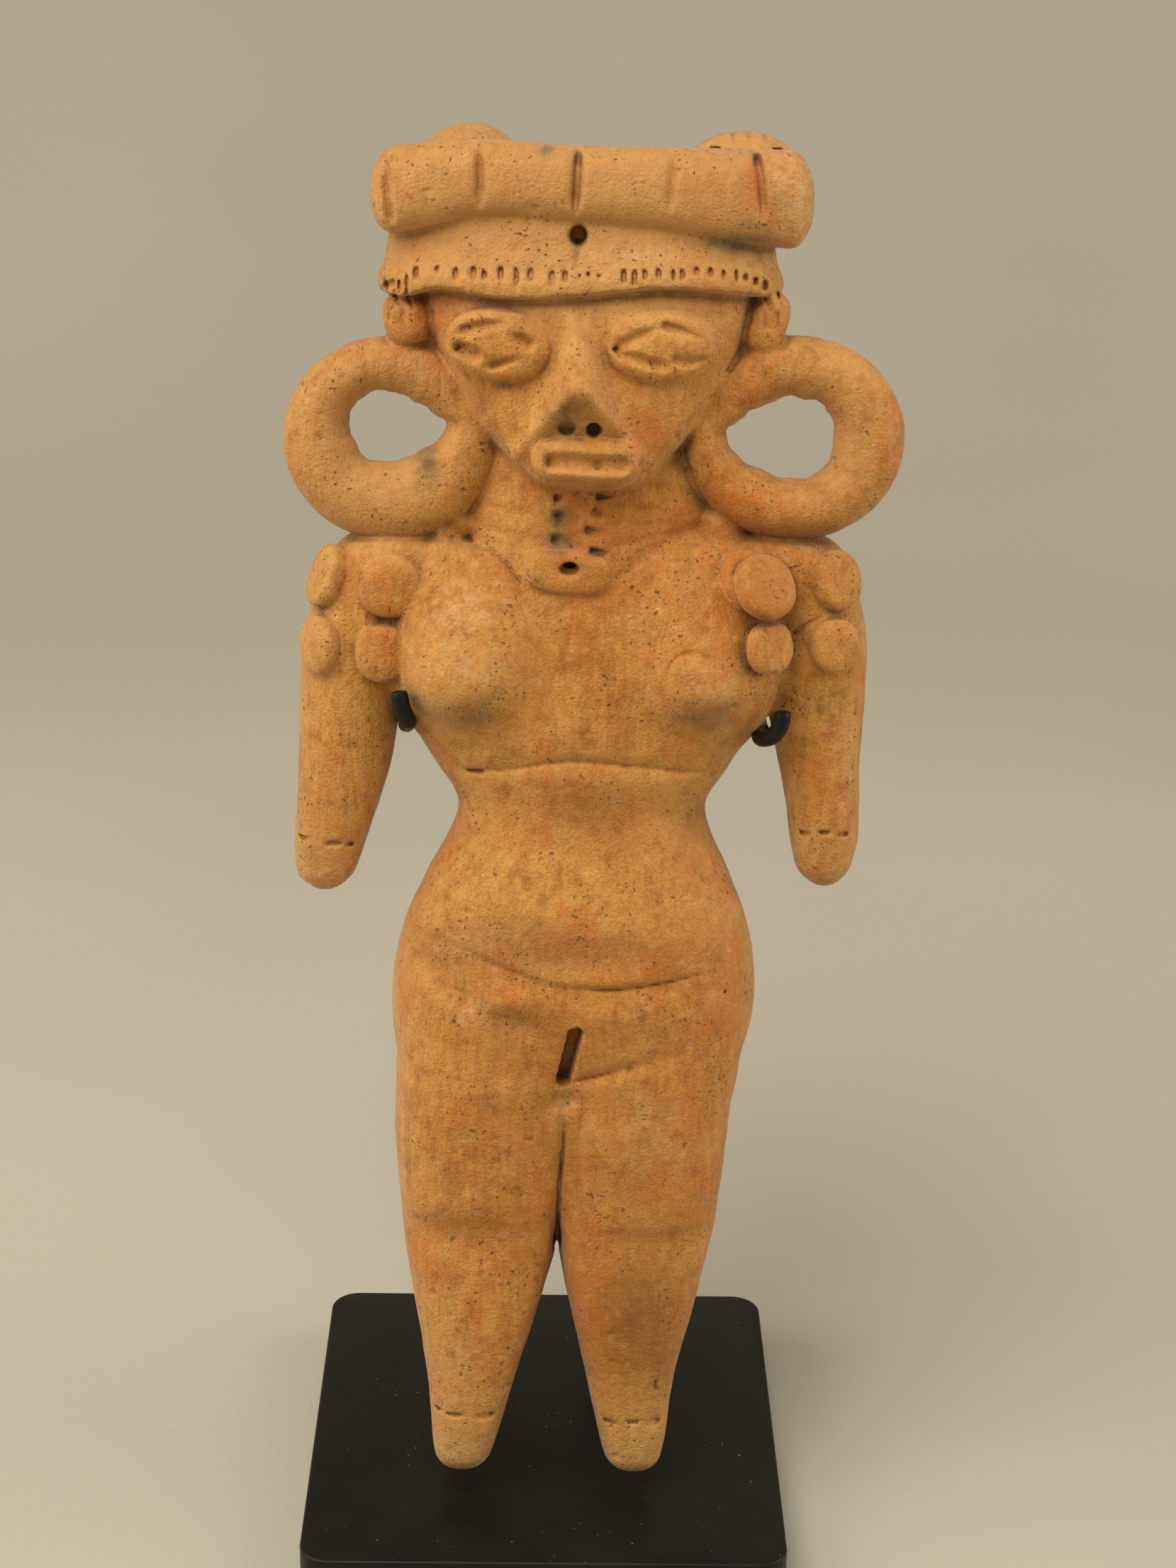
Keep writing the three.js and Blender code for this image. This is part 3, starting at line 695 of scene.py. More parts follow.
def ear_ring(outer, hole, face_side, rng):
    """A ring between an outer oval and a hole with a chipped, uneven edge."""
    angle = np.linspace(-math.pi, math.pi, 361)
    centre_x, centre_height = (np.array(outer[:2]) + hole[:2]) / 2

    def polar(oval, taper, wobble):
        narrowing = 1 - taper * face_side * np.cos(angle)
        x = oval[0] + oval[2] * np.cos(angle) - centre_x
        height = oval[1] + oval[3] * np.sin(angle) * narrowing - centre_height
        bearing = np.arctan2(height, x)
        order = np.argsort(bearing)
        return bearing[order], (np.hypot(x, height) + wobble)[order]

    chips = rng.normal(0, 1, 361)
    chips = sum(np.convolve(np.tile(chips, 3), np.ones(n) / n, "same")[361:722] * n**0.5 for n in (5, 11, 23))
    inner_edge = polar(hole, 0.35, 0.045 * chips)
    outer_edge = polar(outer, 0, 0)

    def distance(x, front, height):
        bearing = np.arctan2(height - centre_height, x - centre_x)
        away = np.hypot(x - centre_x, height - centre_height)
        near = np.interp(bearing, *inner_edge, period=2 * math.pi)
        far = np.interp(bearing, *outer_edge, period=2 * math.pi)
        across = (away - (near + far) / 2) / ((far - near) / 2)
        along = (front - RING_FRONT) / RING_HALF_DEPTH
        return as_distance(np.hypot(across, along).astype(np.float32))

    low = (outer[0] - outer[2], RING_FRONT - RING_HALF_DEPTH, outer[1] - outer[3])
    high = (outer[0] + outer[2], RING_FRONT + RING_HALF_DEPTH, outer[1] + outer[3])
    return distance, low, high


def lumps(shape, spacing, rng):
    """Smooth random bumps over the whole grid, spaced by this many millimetres, from about -1 to 1."""
    weights = []
    for count in shape:
        place = np.arange(count) * CELL / spacing
        cell = place.astype(int)
        t = place - cell
        taps = ((1 - t) ** 3, 3 * t**3 - 6 * t**2 + 4, 1 + 3 * t + 3 * t**2 - 3 * t**3, t**3)
        matrix = np.zeros((count, cell[-1] + 4), np.float32)
        for k, tap in enumerate(taps):
            matrix[np.arange(count), cell + k] = tap / 6
        weights.append(matrix)
    lattice = rng.uniform(-1, 1, [matrix.shape[1] for matrix in weights]).astype(np.float32)
    field = np.tensordot(weights[0], lattice, (1, 0))
    field = np.tensordot(field, weights[1], (1, 1))
    field = np.tensordot(field, weights[2], (1, 1))
    return 2.2 * field


def sculpt_body(clay):
    """Legs, torso, arms and neck."""
    for side in (-1, 1):
        clay.add(loft(LEG, 2.6, side, domes=(2.4, 3.0)), 0.9)
    clay.add(loft(WEB, 2.2, shift=0.0, domes=(3.0, 3.0)), 0.6)
    clay.add(loft(TORSO, 2.3, domes=(3.0, 2.4)), 4.0)
    for x in (-7.0, 11.5):
        clay.add(rounded((x, -7.4, 52.5), (8.2, 5.4, 8.6), turned(nod=8)), 3.0)
    clay.add(loft(LEFT_ARM, 2.2, -1, domes=(2.6, 3.0)), 1.5)
    clay.cut(rounded((-24.8, 1.0, 64.6), (0.45, 4.5, 1.2)), 0.5)
    clay.add(loft(RIGHT_ARM, 2.2, 1, domes=(2.7, 3.0)), 1.5)
    for x, apex in ((-8.2, -9.3), (14.4, 13.9)):
        clay.add(rounded((x, 4.6, 89.8), (7.6, 5.6, 9.2), turned(nod=8)), 4.0)
        clay.add(rounded((apex, 8.5, 88.9), (4.0, 3.0, 4.0)), 3.0)
    clay.add(loft(NECK, 2.2), 1.4)


def sculpt_head(clay, rng):
    """Face, ear rings, side locks and headdress."""
    clay.add(loft(HEAD, 2.8, domes=(1.4, 2.5)), 0.7)
    for outer, hole, face_side in EAR_RINGS:
        clay.add(ear_ring(outer, hole, face_side, rng), 0.6)
    # Clay behind the locks and under the rings closes the corners between head, neck and shoulders
    for x, height in [(-13.0, 122.2), (17.6, 122.4), (-10.2, 102.4), (15.8, 102.4)]:
        clay.add(rounded((x, -0.2, height), (3.4, 4.4, 3.6)), 0.8)
    clay.add(rounded((-14.6, 3.4, 123.0), (2.3, 2.4, 2.6), turned(tilt=14), 3.0, 2.6), 0.9)
    clay.add(rounded((19.9, 3.6, 123.2), (2.0, 2.4, 3.0), turned(tilt=-16), 3.0, 2.6), 0.9)
    for x in (-16.3, -14.9, 19.4, 20.7):
        clay.press([(x, 124.6), (x + 0.1, 122.0)], 0.3, 0.35, (0.2, 0.5))
    clay.add(loft(HEADBAND, 2.7, shift=-0.6, domes=(0.9, 0.6), hem=HEM), 0.4)
    clay.add(rounded((-8.9, -0.6, 137.6), (4.9, 6.2, 3.6), turned(tilt=4)), 0.5)
    clay.add(rounded((17.0, -0.4, 136.9), (5.6, 6.4, 4.0), turned(tilt=8)), 0.5)
    clay.add(log(ROLL, 2.3), 0.4)
    clay.cut(rounded((17.0, 3.0, 139.3), (4.4, 1.3, 0.26), turned(tilt=-1)), 0.4)
    for x in (16.2, 17.6, 19.2, 20.5):
        clay.press([(x, 141.2), (x + 0.1, 139.6)], 0.3, 0.3, (0.3, 0.3))


def sculpt_features(clay):
    """Eyes, nose, lips, the throat pellet and the shoulder pellets."""
    clay.add(rounded((-5.8, 8.6, 121.1), (5.05, 2.1, 3.4), turned(tilt=-9), 2.8, 2.1), 0.25)
    clay.add(rounded((9.5, 8.6, 121.2), (5.3, 2.1, 3.45), turned(tilt=3), 2.8, 2.1), 0.25)
    clay.add(nose(), 1.2)
    clay.add(rounded((2.8, 8.3, 110.4), (5.4, 2.9, 2.35), turned(tilt=-2), 2.6, 3.0), 0.3)
    clay.add(rounded((3.9, 8.2, 108.7), (3.2, 1.9, 1.2)), 0.9)
    clay.add(rounded((1.1, 6.9, 99.3), (4.3, 1.7, 2.25), turned(tilt=-5), 4.0, 2.8), 0.25)
    for x, height, half_width, half_height, lift in PELLETS:
        front, facing = clay.surface_at(x, height)
        right = np.cross(facing, (0, 0, -1))
        right /= np.linalg.norm(right)
        axes = np.column_stack([right, facing, np.cross(right, facing)])
        centre = np.array((x, front, height)) + lift * facing
        clay.add(rounded(centre, (half_width, 1.2, half_height), axes, 3.6, 2.2), 0.1)


def press_marks(clay, rng):
    """Folds, slits, pricks and small hollows in the front."""
    for path, half_width, depth, fade in SOFT_FOLDS + CREASES:
        clay.press(path, half_width, depth, fade)
    for path, half_width, depth, fade, fall in LEDGES:
        clay.press(path, half_width, depth, fade, fall)
    for path, half_width, depth, fade in EYE_SLITS + ROLL_SLITS:
        clay.press(path, half_width, depth, fade, rise=0.9)
    clay.press([(2.6, 53.4), (2.0, 50.4), (1.2, 46.6)], 0.85, 3.0, (0.03, 0.03), rise=0.4)
    # The mouth, with a deeper pit at its left end and one right of its middle
    clay.press([(-1.5, 110.3), (1.0, 110.35), (3.6, 110.2), (7.1, 110.15)], 1.15, 1.0, (0.06, 0.1), rise=0.75)
    clay.prick(-0.7, 110.2, 0.4, 0.45, 0.25, 5)
    clay.prick(3.7, 110.1, 0.4, 0.4, 0.4, 5)
    # Nostrils, the hole in the throat pellet and the hole in the headband with its drip line
    clay.prick(0.7, 113.6, 0.8, 0.65, 0.9, 7)
    clay.prick(3.3, 113.4, 0.65, 0.6, 1.8, 7)
    clay.prick(1.2, 99.7, 0.85, 0.55, 2.0)
    clay.prick(1.6, 131.3, 0.75, 0.85, 2.6)
    clay.press([(1.6, 130.9), (1.5, 128.2)], 0.6, 0.6, (0.05, 0.8))
    for x, height, half_width, half_height in HEM_PRICKS:
        clay.prick(x, height, 0.85 * half_width, half_height, 0.6, -6)
    for path, half_width in NECK_STABS:
        clay.press(path, half_width, 0.9, (0.05, 0.9))
    for x, height, half_width, half_height in FINGER_PRICKS + TOE_PRICKS:
        clay.prick(x, height, half_width, half_height, 0.5)
    # The scored circle over the right breast, open at its lower right
    arc = [(13.2 + 2.3 * math.cos(a), 90.0 + 2.1 * math.sin(a)) for a in np.linspace(-0.3, 4.0, 9)]
    clay.press(arc, 0.35, 0.32, (0.3, 0.2))


def scatter_pits(clay, rng, count):
    """Small pits and nicks spread over the whole surface."""
    spots = np.argwhere(np.abs(clay.field) < 0.3 * CELL)
    for spot in spots[rng.choice(len(spots), count, replace=False)]:
        radius = rng.uniform(0.3, 0.6)
        stretch = np.exp(rng.normal(0, 0.35, 3))
        reach = int(1.6 * radius / CELL) + 2
        cuts = tuple(slice(max(0, i - reach), i + reach) for i in spot)
        grid = np.meshgrid(*[np.arange(cut.start, cut.stop) - i for cut, i in zip(cuts, spot)], indexing="ij")
        off = np.sqrt(sum((cell * CELL / (radius * pull)) ** 2 for cell, pull in zip(grid, stretch)))
        depth = rng.uniform(0.15, 0.5) * radius / 0.4
        block = clay.field[cuts]
        block += depth * smooth_step(0, 1, 1 - off[: block.shape[0], : block.shape[1], : block.shape[2]])


def sculpt():
    """The whole figurine as a field of distances."""
    rng = np.random.default_rng(7)
    clay = Clay()
    sculpt_body(clay)
    sculpt_head(clay, rng)
    sculpt_features(clay)
    press_marks(clay, rng)
    scatter_pits(clay, rng, 260)
    clay.field += 0.16 * lumps(clay.field.shape, 7.0, rng)
    clay.field += 0.05 * lumps(clay.field.shape, 1.8, rng)
    clay.field += 0.025 * lumps(clay.field.shape, 0.8, rng)
    return clay


def world_from_figure():
    """From the figurine's upright frame in millimetres to the plate's in metres."""
    flip = Matrix.Diagonal((1, -1, 1, 1))
    lean = Matrix.Rotation(-math.radians(LEAN), 4, "X")
    place = Matrix.Translation((0, -TOE_FORWARD, PLATE_TOP + TOE_CLEARANCE))
    return Matrix.Scale(MM, 4) @ place @ lean @ flip


def mesh_object(name, points, faces):
    mesh = bpy.data.meshes.new(name)
    mesh.from_pydata([tuple(point) for point in points], [], [tuple(face) for face in faces])
    mesh.update()
    piece = bpy.data.objects.new(name, mesh)
    bpy.context.collection.objects.link(piece)
    return piece


def applied(piece):
    """Replaces a piece's mesh by what its modifiers make of it."""
    evaluated = piece.evaluated_get(bpy.context.evaluated_depsgraph_get())
    mesh = bpy.data.meshes.new_from_object(evaluated)
    piece.modifiers.clear()
    piece.data = mesh
    return piece


def sampled(clay, points):
    """The field at places between its cells."""
    place = (points - np.array(LOW)) / CELL
    place = np.clip(place, 0, np.array(clay.field.shape) - 1.001)
    cell = place.astype(int)
    t = place - cell
    total = np.zeros(len(points))
    for corner in np.ndindex(2, 2, 2):
        weight = np.prod(np.where(corner, t, 1 - t), axis=1)
        i, j, k = (cell + corner).T
        total += weight * clay.field[i, j, k]
    return total


def store(mesh, name, values):
    attribute = mesh.attributes.new(name, "FLOAT", "POINT")
    attribute.data.foreach_set("value", np.asarray(values, np.float32))


def paint_masks(mesh, clay):
    """Stores how sunken each place is, for painted shade and for dirt in the slits, how thin it is, for a painted
    highlight on edges, and the stains on the front, among them painted shade, highlights and a rim of light.
    """
    count = len(mesh.vertices)
    points = np.empty(3 * count)
    mesh.vertices.foreach_get("co", points)
    points = points.reshape(-1, 3)
    normals = np.empty(3 * count)
    mesh.vertex_normals.foreach_get("vector", normals)
    normals = normals.reshape(-1, 3)
    # How sunken each place is: the material darkens sunken places as painted shade, and the dirt in the slits follows
    # it
    close = 1 - sampled(clay, points + 0.7 * normals) / 0.7
    wide = 1 - sampled(clay, points + 2.2 * normals) / 2.2
    store(mesh, "hollow", np.clip(0.75 * close + 0.5 * wide, 0, 1))
    # How thin each place is: the material lightens thin edges as a painted highlight
    inside = 1 + sampled(clay, points - 1.0 * normals) / 1.0
    store(mesh, "crest", np.clip(inside * 1.6, 0, 1))
    facing = smooth_step(-0.2, 0.3, normals[:, 1])
    for name, spots in STAINS.items():
        amount = np.zeros(count)
        for x, height, half_width, half_height, strength in spots:
            off = ((points[:, 0] - x) / half_width) ** 2 + ((points[:, 2] - height) / half_height) ** 2
            amount = np.maximum(amount, strength * np.exp(-0.7 * off))
        store(mesh, name, amount * facing)


def figurine_mesh():
    clay = sculpt()
    grid = openvdb.FloatGrid(1.0)
    grid.copyFromArray(np.clip(clay.field, -1.0, 1.0))
    points, quads = grid.convertToQuads(0.0)
    piece = mesh_object("terracotta_figurine", points * CELL + np.array(LOW), quads)
    # Decimation spares the face and the front of the headdress, where the marks are smallest
    places = points * CELL + np.array(LOW)
    spared = (places[:, 1] > 3) & (places[:, 2] > 98)
    group = piece.vertex_groups.new(name="shrink")
    group.add(np.nonzero(spared)[0].tolist(), 0.6, "REPLACE")
    group.add(np.nonzero(~spared)[0].tolist(), 1.0, "REPLACE")
    shrink = piece.modifiers.new("shrink", "DECIMATE")
    shrink.ratio = min(1, MOST_TRIANGLES / (2 * len(quads)))
    shrink.vertex_group = "shrink"
    shrink.vertex_group_factor = SPARING
    applied(piece)
    paint_masks(piece.data, clay)
    piece.data.transform(world_from_figure())
    piece.data.flip_normals()
    piece.data.shade_smooth()
    return piece


def srgb(red, green, blue):
    """A colour as it looks on a screen, from 0 to 255, as the light values that shaders use."""
    parts = [part / 255 for part in (red, green, blue)]
    return (*[part / 12.92 if part < 0.04 else ((part + 0.055) / 1.055) ** 2.4 for part in parts], 1)


class Graph:
    """A material's nodes. Each call adds one and returns its output."""

    def __init__(self, name):
        self.material = bpy.data.materials.new(name)
        self.material.use_nodes = True
        self.tree = self.material.node_tree
        self.shader = self.tree.nodes["Principled BSDF"]
        self.place = self.node("ShaderNodeTexCoord").outputs["Object"]

    def node(self, kind, **settings):
        made = self.tree.nodes.new(kind)
        for name, value in settings.items():
            setattr(made, name, value)
        return made

    def feed(self, socket, value):
        if isinstance(value, bpy.types.NodeSocket):
            self.tree.links.new(value, socket)
        else:
            socket.default_value = value

    def surface(self, **values):
        for name, value in values.items():
            self.feed(self.shader.inputs[name.replace("_", " ")], value)

    def noise(self, size, detail=2.0, roughness=0.5, stretch=(1, 1, 1), offset=0.0):
        """Noise from 0 to 1, its features of this size in millimetres and longer where stretched."""
        mapping = self.node("ShaderNodeMapping")
        mapping.inputs["Location"].default_value = (offset, offset, offset)
        mapping.inputs["Scale"].default_value = [1 / pull for pull in stretch]
        self.feed(mapping.inputs["Vector"], self.place)
        made = self.node("ShaderNodeTexNoise")
        made.inputs["Scale"].default_value = 1 / (size * MM)
        made.inputs["Detail"].default_value = detail
        made.inputs["Roughness"].default_value = roughness
        self.feed(made.inputs["Vector"], mapping.outputs["Vector"])
        return made.outputs["Fac"]

    def band(self, value, low, high, to_low=0.0, to_high=1.0):
        """Rises smoothly from one value to another while the input goes from low to high."""
        made = self.node("ShaderNodeMapRange", interpolation_type="SMOOTHSTEP")
        levels = (value, low, high, to_low, to_high)
        for socket, level in zip(made.inputs, levels):
            self.feed(socket, level)
        return made.outputs["Result"]

    def math(self, operation, a, b=0.0):
        made = self.node("ShaderNodeMath", operation=operation)
        self.feed(made.inputs[0], a)
        self.feed(made.inputs[1], b)
        return made.outputs["Value"]

    def blend(self, share, a, b, kind="MIX"):
        made = self.node("ShaderNodeMix", data_type="RGBA", blend_type=kind)
        self.feed(made.inputs[0], share)
        self.feed(made.inputs[6], a)
        self.feed(made.inputs[7], b)
        return made.outputs[2]

    def shade(self, colour, value):
        """The colour made lighter or darker by a factor."""
        made = self.node("ShaderNodeVectorMath", operation="SCALE")
        self.feed(made.inputs["Vector"], colour)
        self.feed(made.inputs["Scale"], value)
        return made.outputs["Vector"]

    def attribute(self, name):
        return self.node("ShaderNodeAttribute", attribute_name=name).outputs["Fac"]

    def bump(self, height, depth):
        """Small relief, as deep as this in millimetres where the height goes from 0 to 1."""
        made = self.node("ShaderNodeBump")
        made.inputs["Distance"].default_value = depth * MM
        self.feed(made.inputs["Height"], height)
        self.feed(self.shader.inputs["Normal"], made.outputs["Normal"])


AMBER = srgb(173, 108, 34)
BUFF = srgb(188, 131, 56)
OCHRE = srgb(149, 87, 26)
HONEY = srgb(198, 146, 72)
# Brown for the painted shade in sunken places
SHADE_BROWN = srgb(100, 58, 24)
UMBER = srgb(122, 74, 26)
# Duller, paler clay, also used for the painted rim of light on the hips
WORN_AND_RIM_LIGHT = srgb(186, 138, 76)
PIT = srgb(76, 52, 30)
RUST = srgb(184, 92, 34)
CHALK = srgb(204, 160, 102)
# Grey-green dirt colours, also used for painted shade under the eye, nose, right ear ring and breasts
EARTH_AND_SHADE = srgb(112, 94, 60)
SOOT_AND_SHADE = srgb(70, 58, 38)
ORANGE = srgb(186, 102, 28)


def clay_material():
    """Burnished fired clay: warm mottling, streaks of the burnisher, flecks, dirt in the slits and old stains, with
    painted shade in sunken places and under forms, and painted highlights on thin edges, the chest, the belly and the
    sides of the hips.
    """
    g = Graph("fired_clay")
    clouds = g.noise(15, 3, 0.55)
    mottle = g.noise(1.9, 3, 0.6)
    freckle = g.noise(0.9, 2, 0.6, offset=0.3)
    grain = g.noise(0.28, 2, 0.6)
    streak = g.noise(0.7, 3, 0.6, stretch=(1, 1, 9))
    patch = g.noise(6, 2, 0.5, offset=0.7)

    colour = g.blend(g.band(clouds, 0.35, 0.65), AMBER, BUFF)
    colour = g.blend(g.band(mottle, 0.5, 0.75, 0, 0.75), colour, OCHRE)
    colour = g.blend(g.band(mottle, 0.5, 0.25, 0, 0.6), colour, HONEY)
    colour = g.blend(g.band(g.noise(5, 4, 0.65, stretch=(1, 1, 1.8), offset=0.9), 0.5, 0.66, 0, 0.6), colour, ORANGE)
    colour = g.shade(colour, g.band(streak, 0.25, 0.75, 0.84, 1.13))
    colour = g.shade(colour, g.band(grain, 0.25, 0.75, 0.84, 1.14))

    crest = g.attribute("crest")
    hollow = g.attribute("hollow")
    rough_edge = g.band(freckle, 0.3, 0.7, -0.35, 0.35)
    # Weathered clay, and the painted rim of light down the sides of the hips
    worn_and_rim_light = g.math("ADD", g.attribute("worn_and_rim_light"), g.math("MULTIPLY", rough_edge, 0.5))
    colour = g.blend(g.band(worn_and_rim_light, 0.1, 1.0, 0, 0.65), colour, WORN_AND_RIM_LIGHT)
    # Darker brown, partly painted shade below the knees, along the belly folds, under the breasts and on the ear
    # rings
    umber = g.math("ADD", g.attribute("umber"), g.band(streak, 0.3, 0.7, -0.15, 0.15))
    colour = g.blend(g.band(umber, 0.0, 1.0, 0, 0.85), colour, UMBER)
    # Painted highlight: thin convex edges lightened towards honey
    colour = g.blend(g.math("MULTIPLY", crest, 0.3), colour, HONEY)
    # Painted shade: sunken places darkened towards brown
    colour = g.blend(g.band(hollow, 0.35, 0.95, 0, 0.65), colour, SHADE_BROWN)

    # Paler patches, partly painted highlights on the chest and belly
    pale = g.math("ADD", g.attribute("pale"), rough_edge)
    colour = g.blend(g.band(pale, 0.05, 1.1, 0, 0.65), colour, CHALK)
    blush = g.math("ADD", g.attribute("blush"), g.math("MULTIPLY", rough_edge, 0.6))
    colour = g.blend(g.band(blush, 0.05, 1.1, 0, 0.75), colour, RUST)
    scratch = g.band(g.noise(0.5, 1, 0.5, stretch=(2.4, 1, 1), offset=0.5), 0.66, 0.72)
    scratch = g.math("MULTIPLY", scratch, g.band(patch, 0.54, 0.68))
    colour = g.blend(g.math("MULTIPLY", scratch, 0.35), colour, CHALK)
    specks = g.band(g.noise(0.45, 1, 0.5, offset=0.2), 0.66, 0.74)
    specks = g.math("MULTIPLY", specks, g.band(g.noise(4, 1, 0.5, offset=0.4), 0.46, 0.62))
    colour = g.blend(g.math("MULTIPLY", specks, 0.7), colour, PIT)
    red_specks = g.band(g.noise(0.9, 1, 0.5, offset=0.6), 0.74, 0.78)
    colour = g.blend(g.math("MULTIPLY", red_specks, 0.7), colour, RUST)
    # Grey-green dirt in the slits, and the grey stains, partly painted shade under the eye, nose, right ear ring and
    # breasts
    earth_and_shade = g.math("MULTIPLY", g.attribute("fill"), g.band(hollow, 0.25, 0.5))
    earth_and_shade = g.math("MAXIMUM", earth_and_shade, g.attribute("earth_and_shade"))
    earth_and_shade = g.band(g.math("ADD", earth_and_shade, g.math("MULTIPLY", rough_edge, 0.45)), 0.1, 1.1)
    colour = g.blend(g.math("MULTIPLY", earth_and_shade, 0.8), colour, g.blend(g.band(mottle, 0.4, 0.6), EARTH_AND_SHADE, SOOT_AND_SHADE))

    height = g.math("MULTIPLY", mottle, 0.9)
    height = g.math("ADD", height, g.math("MULTIPLY", streak, 0.5))
    height = g.math("ADD", height, g.math("MULTIPLY", grain, 0.5))
    height = g.math("SUBTRACT", height, g.math("MULTIPLY", specks, 0.7))
    height = g.math("SUBTRACT", height, g.math("MULTIPLY", scratch, 0.4))
    g.bump(height, 0.3)
    roughness = g.math("ADD", g.band(mottle, 0.3, 0.7, 0.5, 0.62), g.math("MULTIPLY", earth_and_shade, 0.25))
    g.surface(Base_Color=colour, Roughness=roughness, Specular_IOR_Level=0.22)
    g.surface(Sheen_Weight=0.22, Sheen_Roughness=0.5, Sheen_Tint=(1.0, 0.86, 0.66, 1))
    return g.material


def paint_material():
    """Satin black paint with a fine tooth and settled dust."""
    g = Graph("satin_black_paint")
    tooth = g.noise(0.5, 2, 0.6)
    wear = g.noise(9, 3, 0.6)
    dust = g.band(g.noise(0.45, 0.5, 0.5), 0.755, 0.79)
    dust = g.math("MULTIPLY", dust, g.band(g.noise(6, 1, 0.5, offset=0.4), 0.54, 0.66))
    rusty = g.band(g.noise(2.2, 0, 0.5, offset=0.8), 0.45, 0.6)
    colour = g.blend(g.band(wear, 0.3, 0.7), srgb(17, 17, 12), srgb(23, 22, 16))
    colour = g.blend(dust, colour, g.blend(rusty, srgb(118, 112, 94), srgb(96, 62, 38)))
    g.bump(g.math("ADD", g.math("MULTIPLY", tooth, 0.4), dust), 0.03)
    g.surface(Base_Color=colour, Roughness=g.band(wear, 0.3, 0.7, 0.36, 0.44), Specular_IOR_Level=0.2)
    return g.material


def paper_material():
    """The plain pale backdrop."""
    g = Graph("pale_paper")
    tooth = g.noise(0.6, 2, 0.6)
    colour = g.blend(g.band(g.noise(160, 2, 0.5), 0.3, 0.7), srgb(180, 172, 152), srgb(186, 178, 157))
    g.bump(tooth, 0.05)
    g.surface(Base_Color=colour, Roughness=0.9, Specular_IOR_Level=0.2)
    return g.material


# The stand, in millimetres, as its solids have it
POST_X = 7.0
POST_Y = 12.6
POST_RADIUS = 1.6
POST_TOP = 90.5
WIRE_RADIUS = 0.85
# The wire from each hook's tip to the middle of the back, in the figurine's frame
LEFT_HOOK = [
    (-15.2, 8.4, 87.6),
    (-14.9, 8.5, 85.9),
    (-14.4, 7.6, 84.5),
    (-14.6, 5.4, 83.6),
    (-14.7, 2.5, 83.1),
    (-14.9, 0.0, 83.0),
    (-14.7, -6.0, 82.7),
    (-13.5, -8.8, 82.4),
    (-10.4, -9.6, 82.2),
]
RIGHT_HOOK = [
    (22.2, 8.4, 86.1),
    (22.1, 8.4, 84.7),
    (21.4, 7.8, 83.4),
    (20.5, 6.4, 82.8),
    (20.4, 4.2, 82.6),
    (20.7, 2.0, 82.4),
    (20.8, 0.0, 82.2),
    (20.6, -6.0, 82.2),
    (19.4, -8.8, 82.2),
    (16.3, -9.6, 82.2),
]
PLATE_SIDE = 50.8
PLATE_CORNER = 3.2
PLATE_EDGE = 0.3


def swept(shape, path, profile, sides=24):
    """Adds a round bar along a path to a bmesh. The profile gives [distance along, radius] and closes both ends."""
    path = np.array(path, float)
    steps = np.linalg.norm(np.diff(path, axis=0), axis=1)
    along = np.concatenate([[0], np.cumsum(steps)])
    aside = np.array((0, 0, 1.0)) if abs(path[1][2] - path[0][2]) < 0.9 * steps[0] else np.array((1.0, 0, 0))
    rings = []
    for distance, radius in profile:
        middle = np.array([np.interp(distance, along, path[:, axis]) for axis in range(3)])
        ahead = np.array([np.interp(distance + 0.3, along, path[:, axis]) for axis in range(3)])
        astern = np.array([np.interp(distance - 0.3, along, path[:, axis]) for axis in range(3)])
        forward = (ahead - astern) / np.linalg.norm(ahead - astern)
        aside = aside - forward * (aside @ forward)
        aside /= np.linalg.norm(aside)
        across = np.cross(forward, aside)
        angles = np.linspace(0, 2 * math.pi, sides, endpoint=False)
        ring = [middle + radius * (math.cos(a) * aside + math.sin(a) * across) for a in angles]
        rings.append([shape.verts.new(point) for point in ring])
    for first, second in zip(rings[:-1], rings[1:]):
        for i in range(sides):
            j = (i + 1) % sides
            shape.faces.new((first[i], first[j], second[j], second[i]))
    shape.faces.new(rings[0][::-1])
    shape.faces.new(rings[-1])


def bar_profile(length, radius, spacing, round_end):
    """A bar's radius along its length, rounded over at both ends."""
    ends = [(0, 0.35), (0.12, 0.7), (0.4, 0.92), (1, 1)]
    start = [(round_end * share, radius * size) for share, size in ends]
    stop = [(length - place, size) for place, size in reversed(start)]
    middle = [(place, radius) for place in np.arange(round_end + spacing, length - round_end, spacing)]
    return start + middle + stop


def finished(name, shape, paint, matrix=Matrix.Scale(MM, 4)):
    """Turns a bmesh in millimetres into a smooth-shaded piece."""
    bmesh.ops.recalc_face_normals(shape, faces=shape.faces)
    mesh = bpy.data.meshes.new(name)
    shape.to_mesh(mesh)
    shape.free()
    mesh.transform(matrix)
    mesh.shade_smooth()
    mesh.set_sharp_from_angle(angle=math.radians(40))
    mesh.materials.append(paint)
    piece = bpy.data.objects.new(name, mesh)
    bpy.context.collection.objects.link(piece)
    return piece


def cradle_piece(paint):
    """The bent wire and the post behind it."""
    shape = bmesh.new()
    places = LEFT_HOOK + RIGHT_HOOK[::-1]
    to_world = Matrix.Scale(1 / MM, 4) @ world_from_figure()
    path = smooth_line([to_world @ Vector(place) for place in places], 0.5)
    length = np.linalg.norm(np.diff(path, axis=0), axis=1).sum()
    swept(shape, path, bar_profile(length, WIRE_RADIUS, 0.6, 0.5))
    foot = PLATE_TOP - 1
    post = [(POST_X, POST_Y, height) for height in (foot, (foot + POST_TOP) / 2, POST_TOP)]
    swept(shape, post, bar_profile(POST_TOP - foot, POST_RADIUS, 4.0, 0.6), 32)
    return finished("painted_cradle", shape, paint)


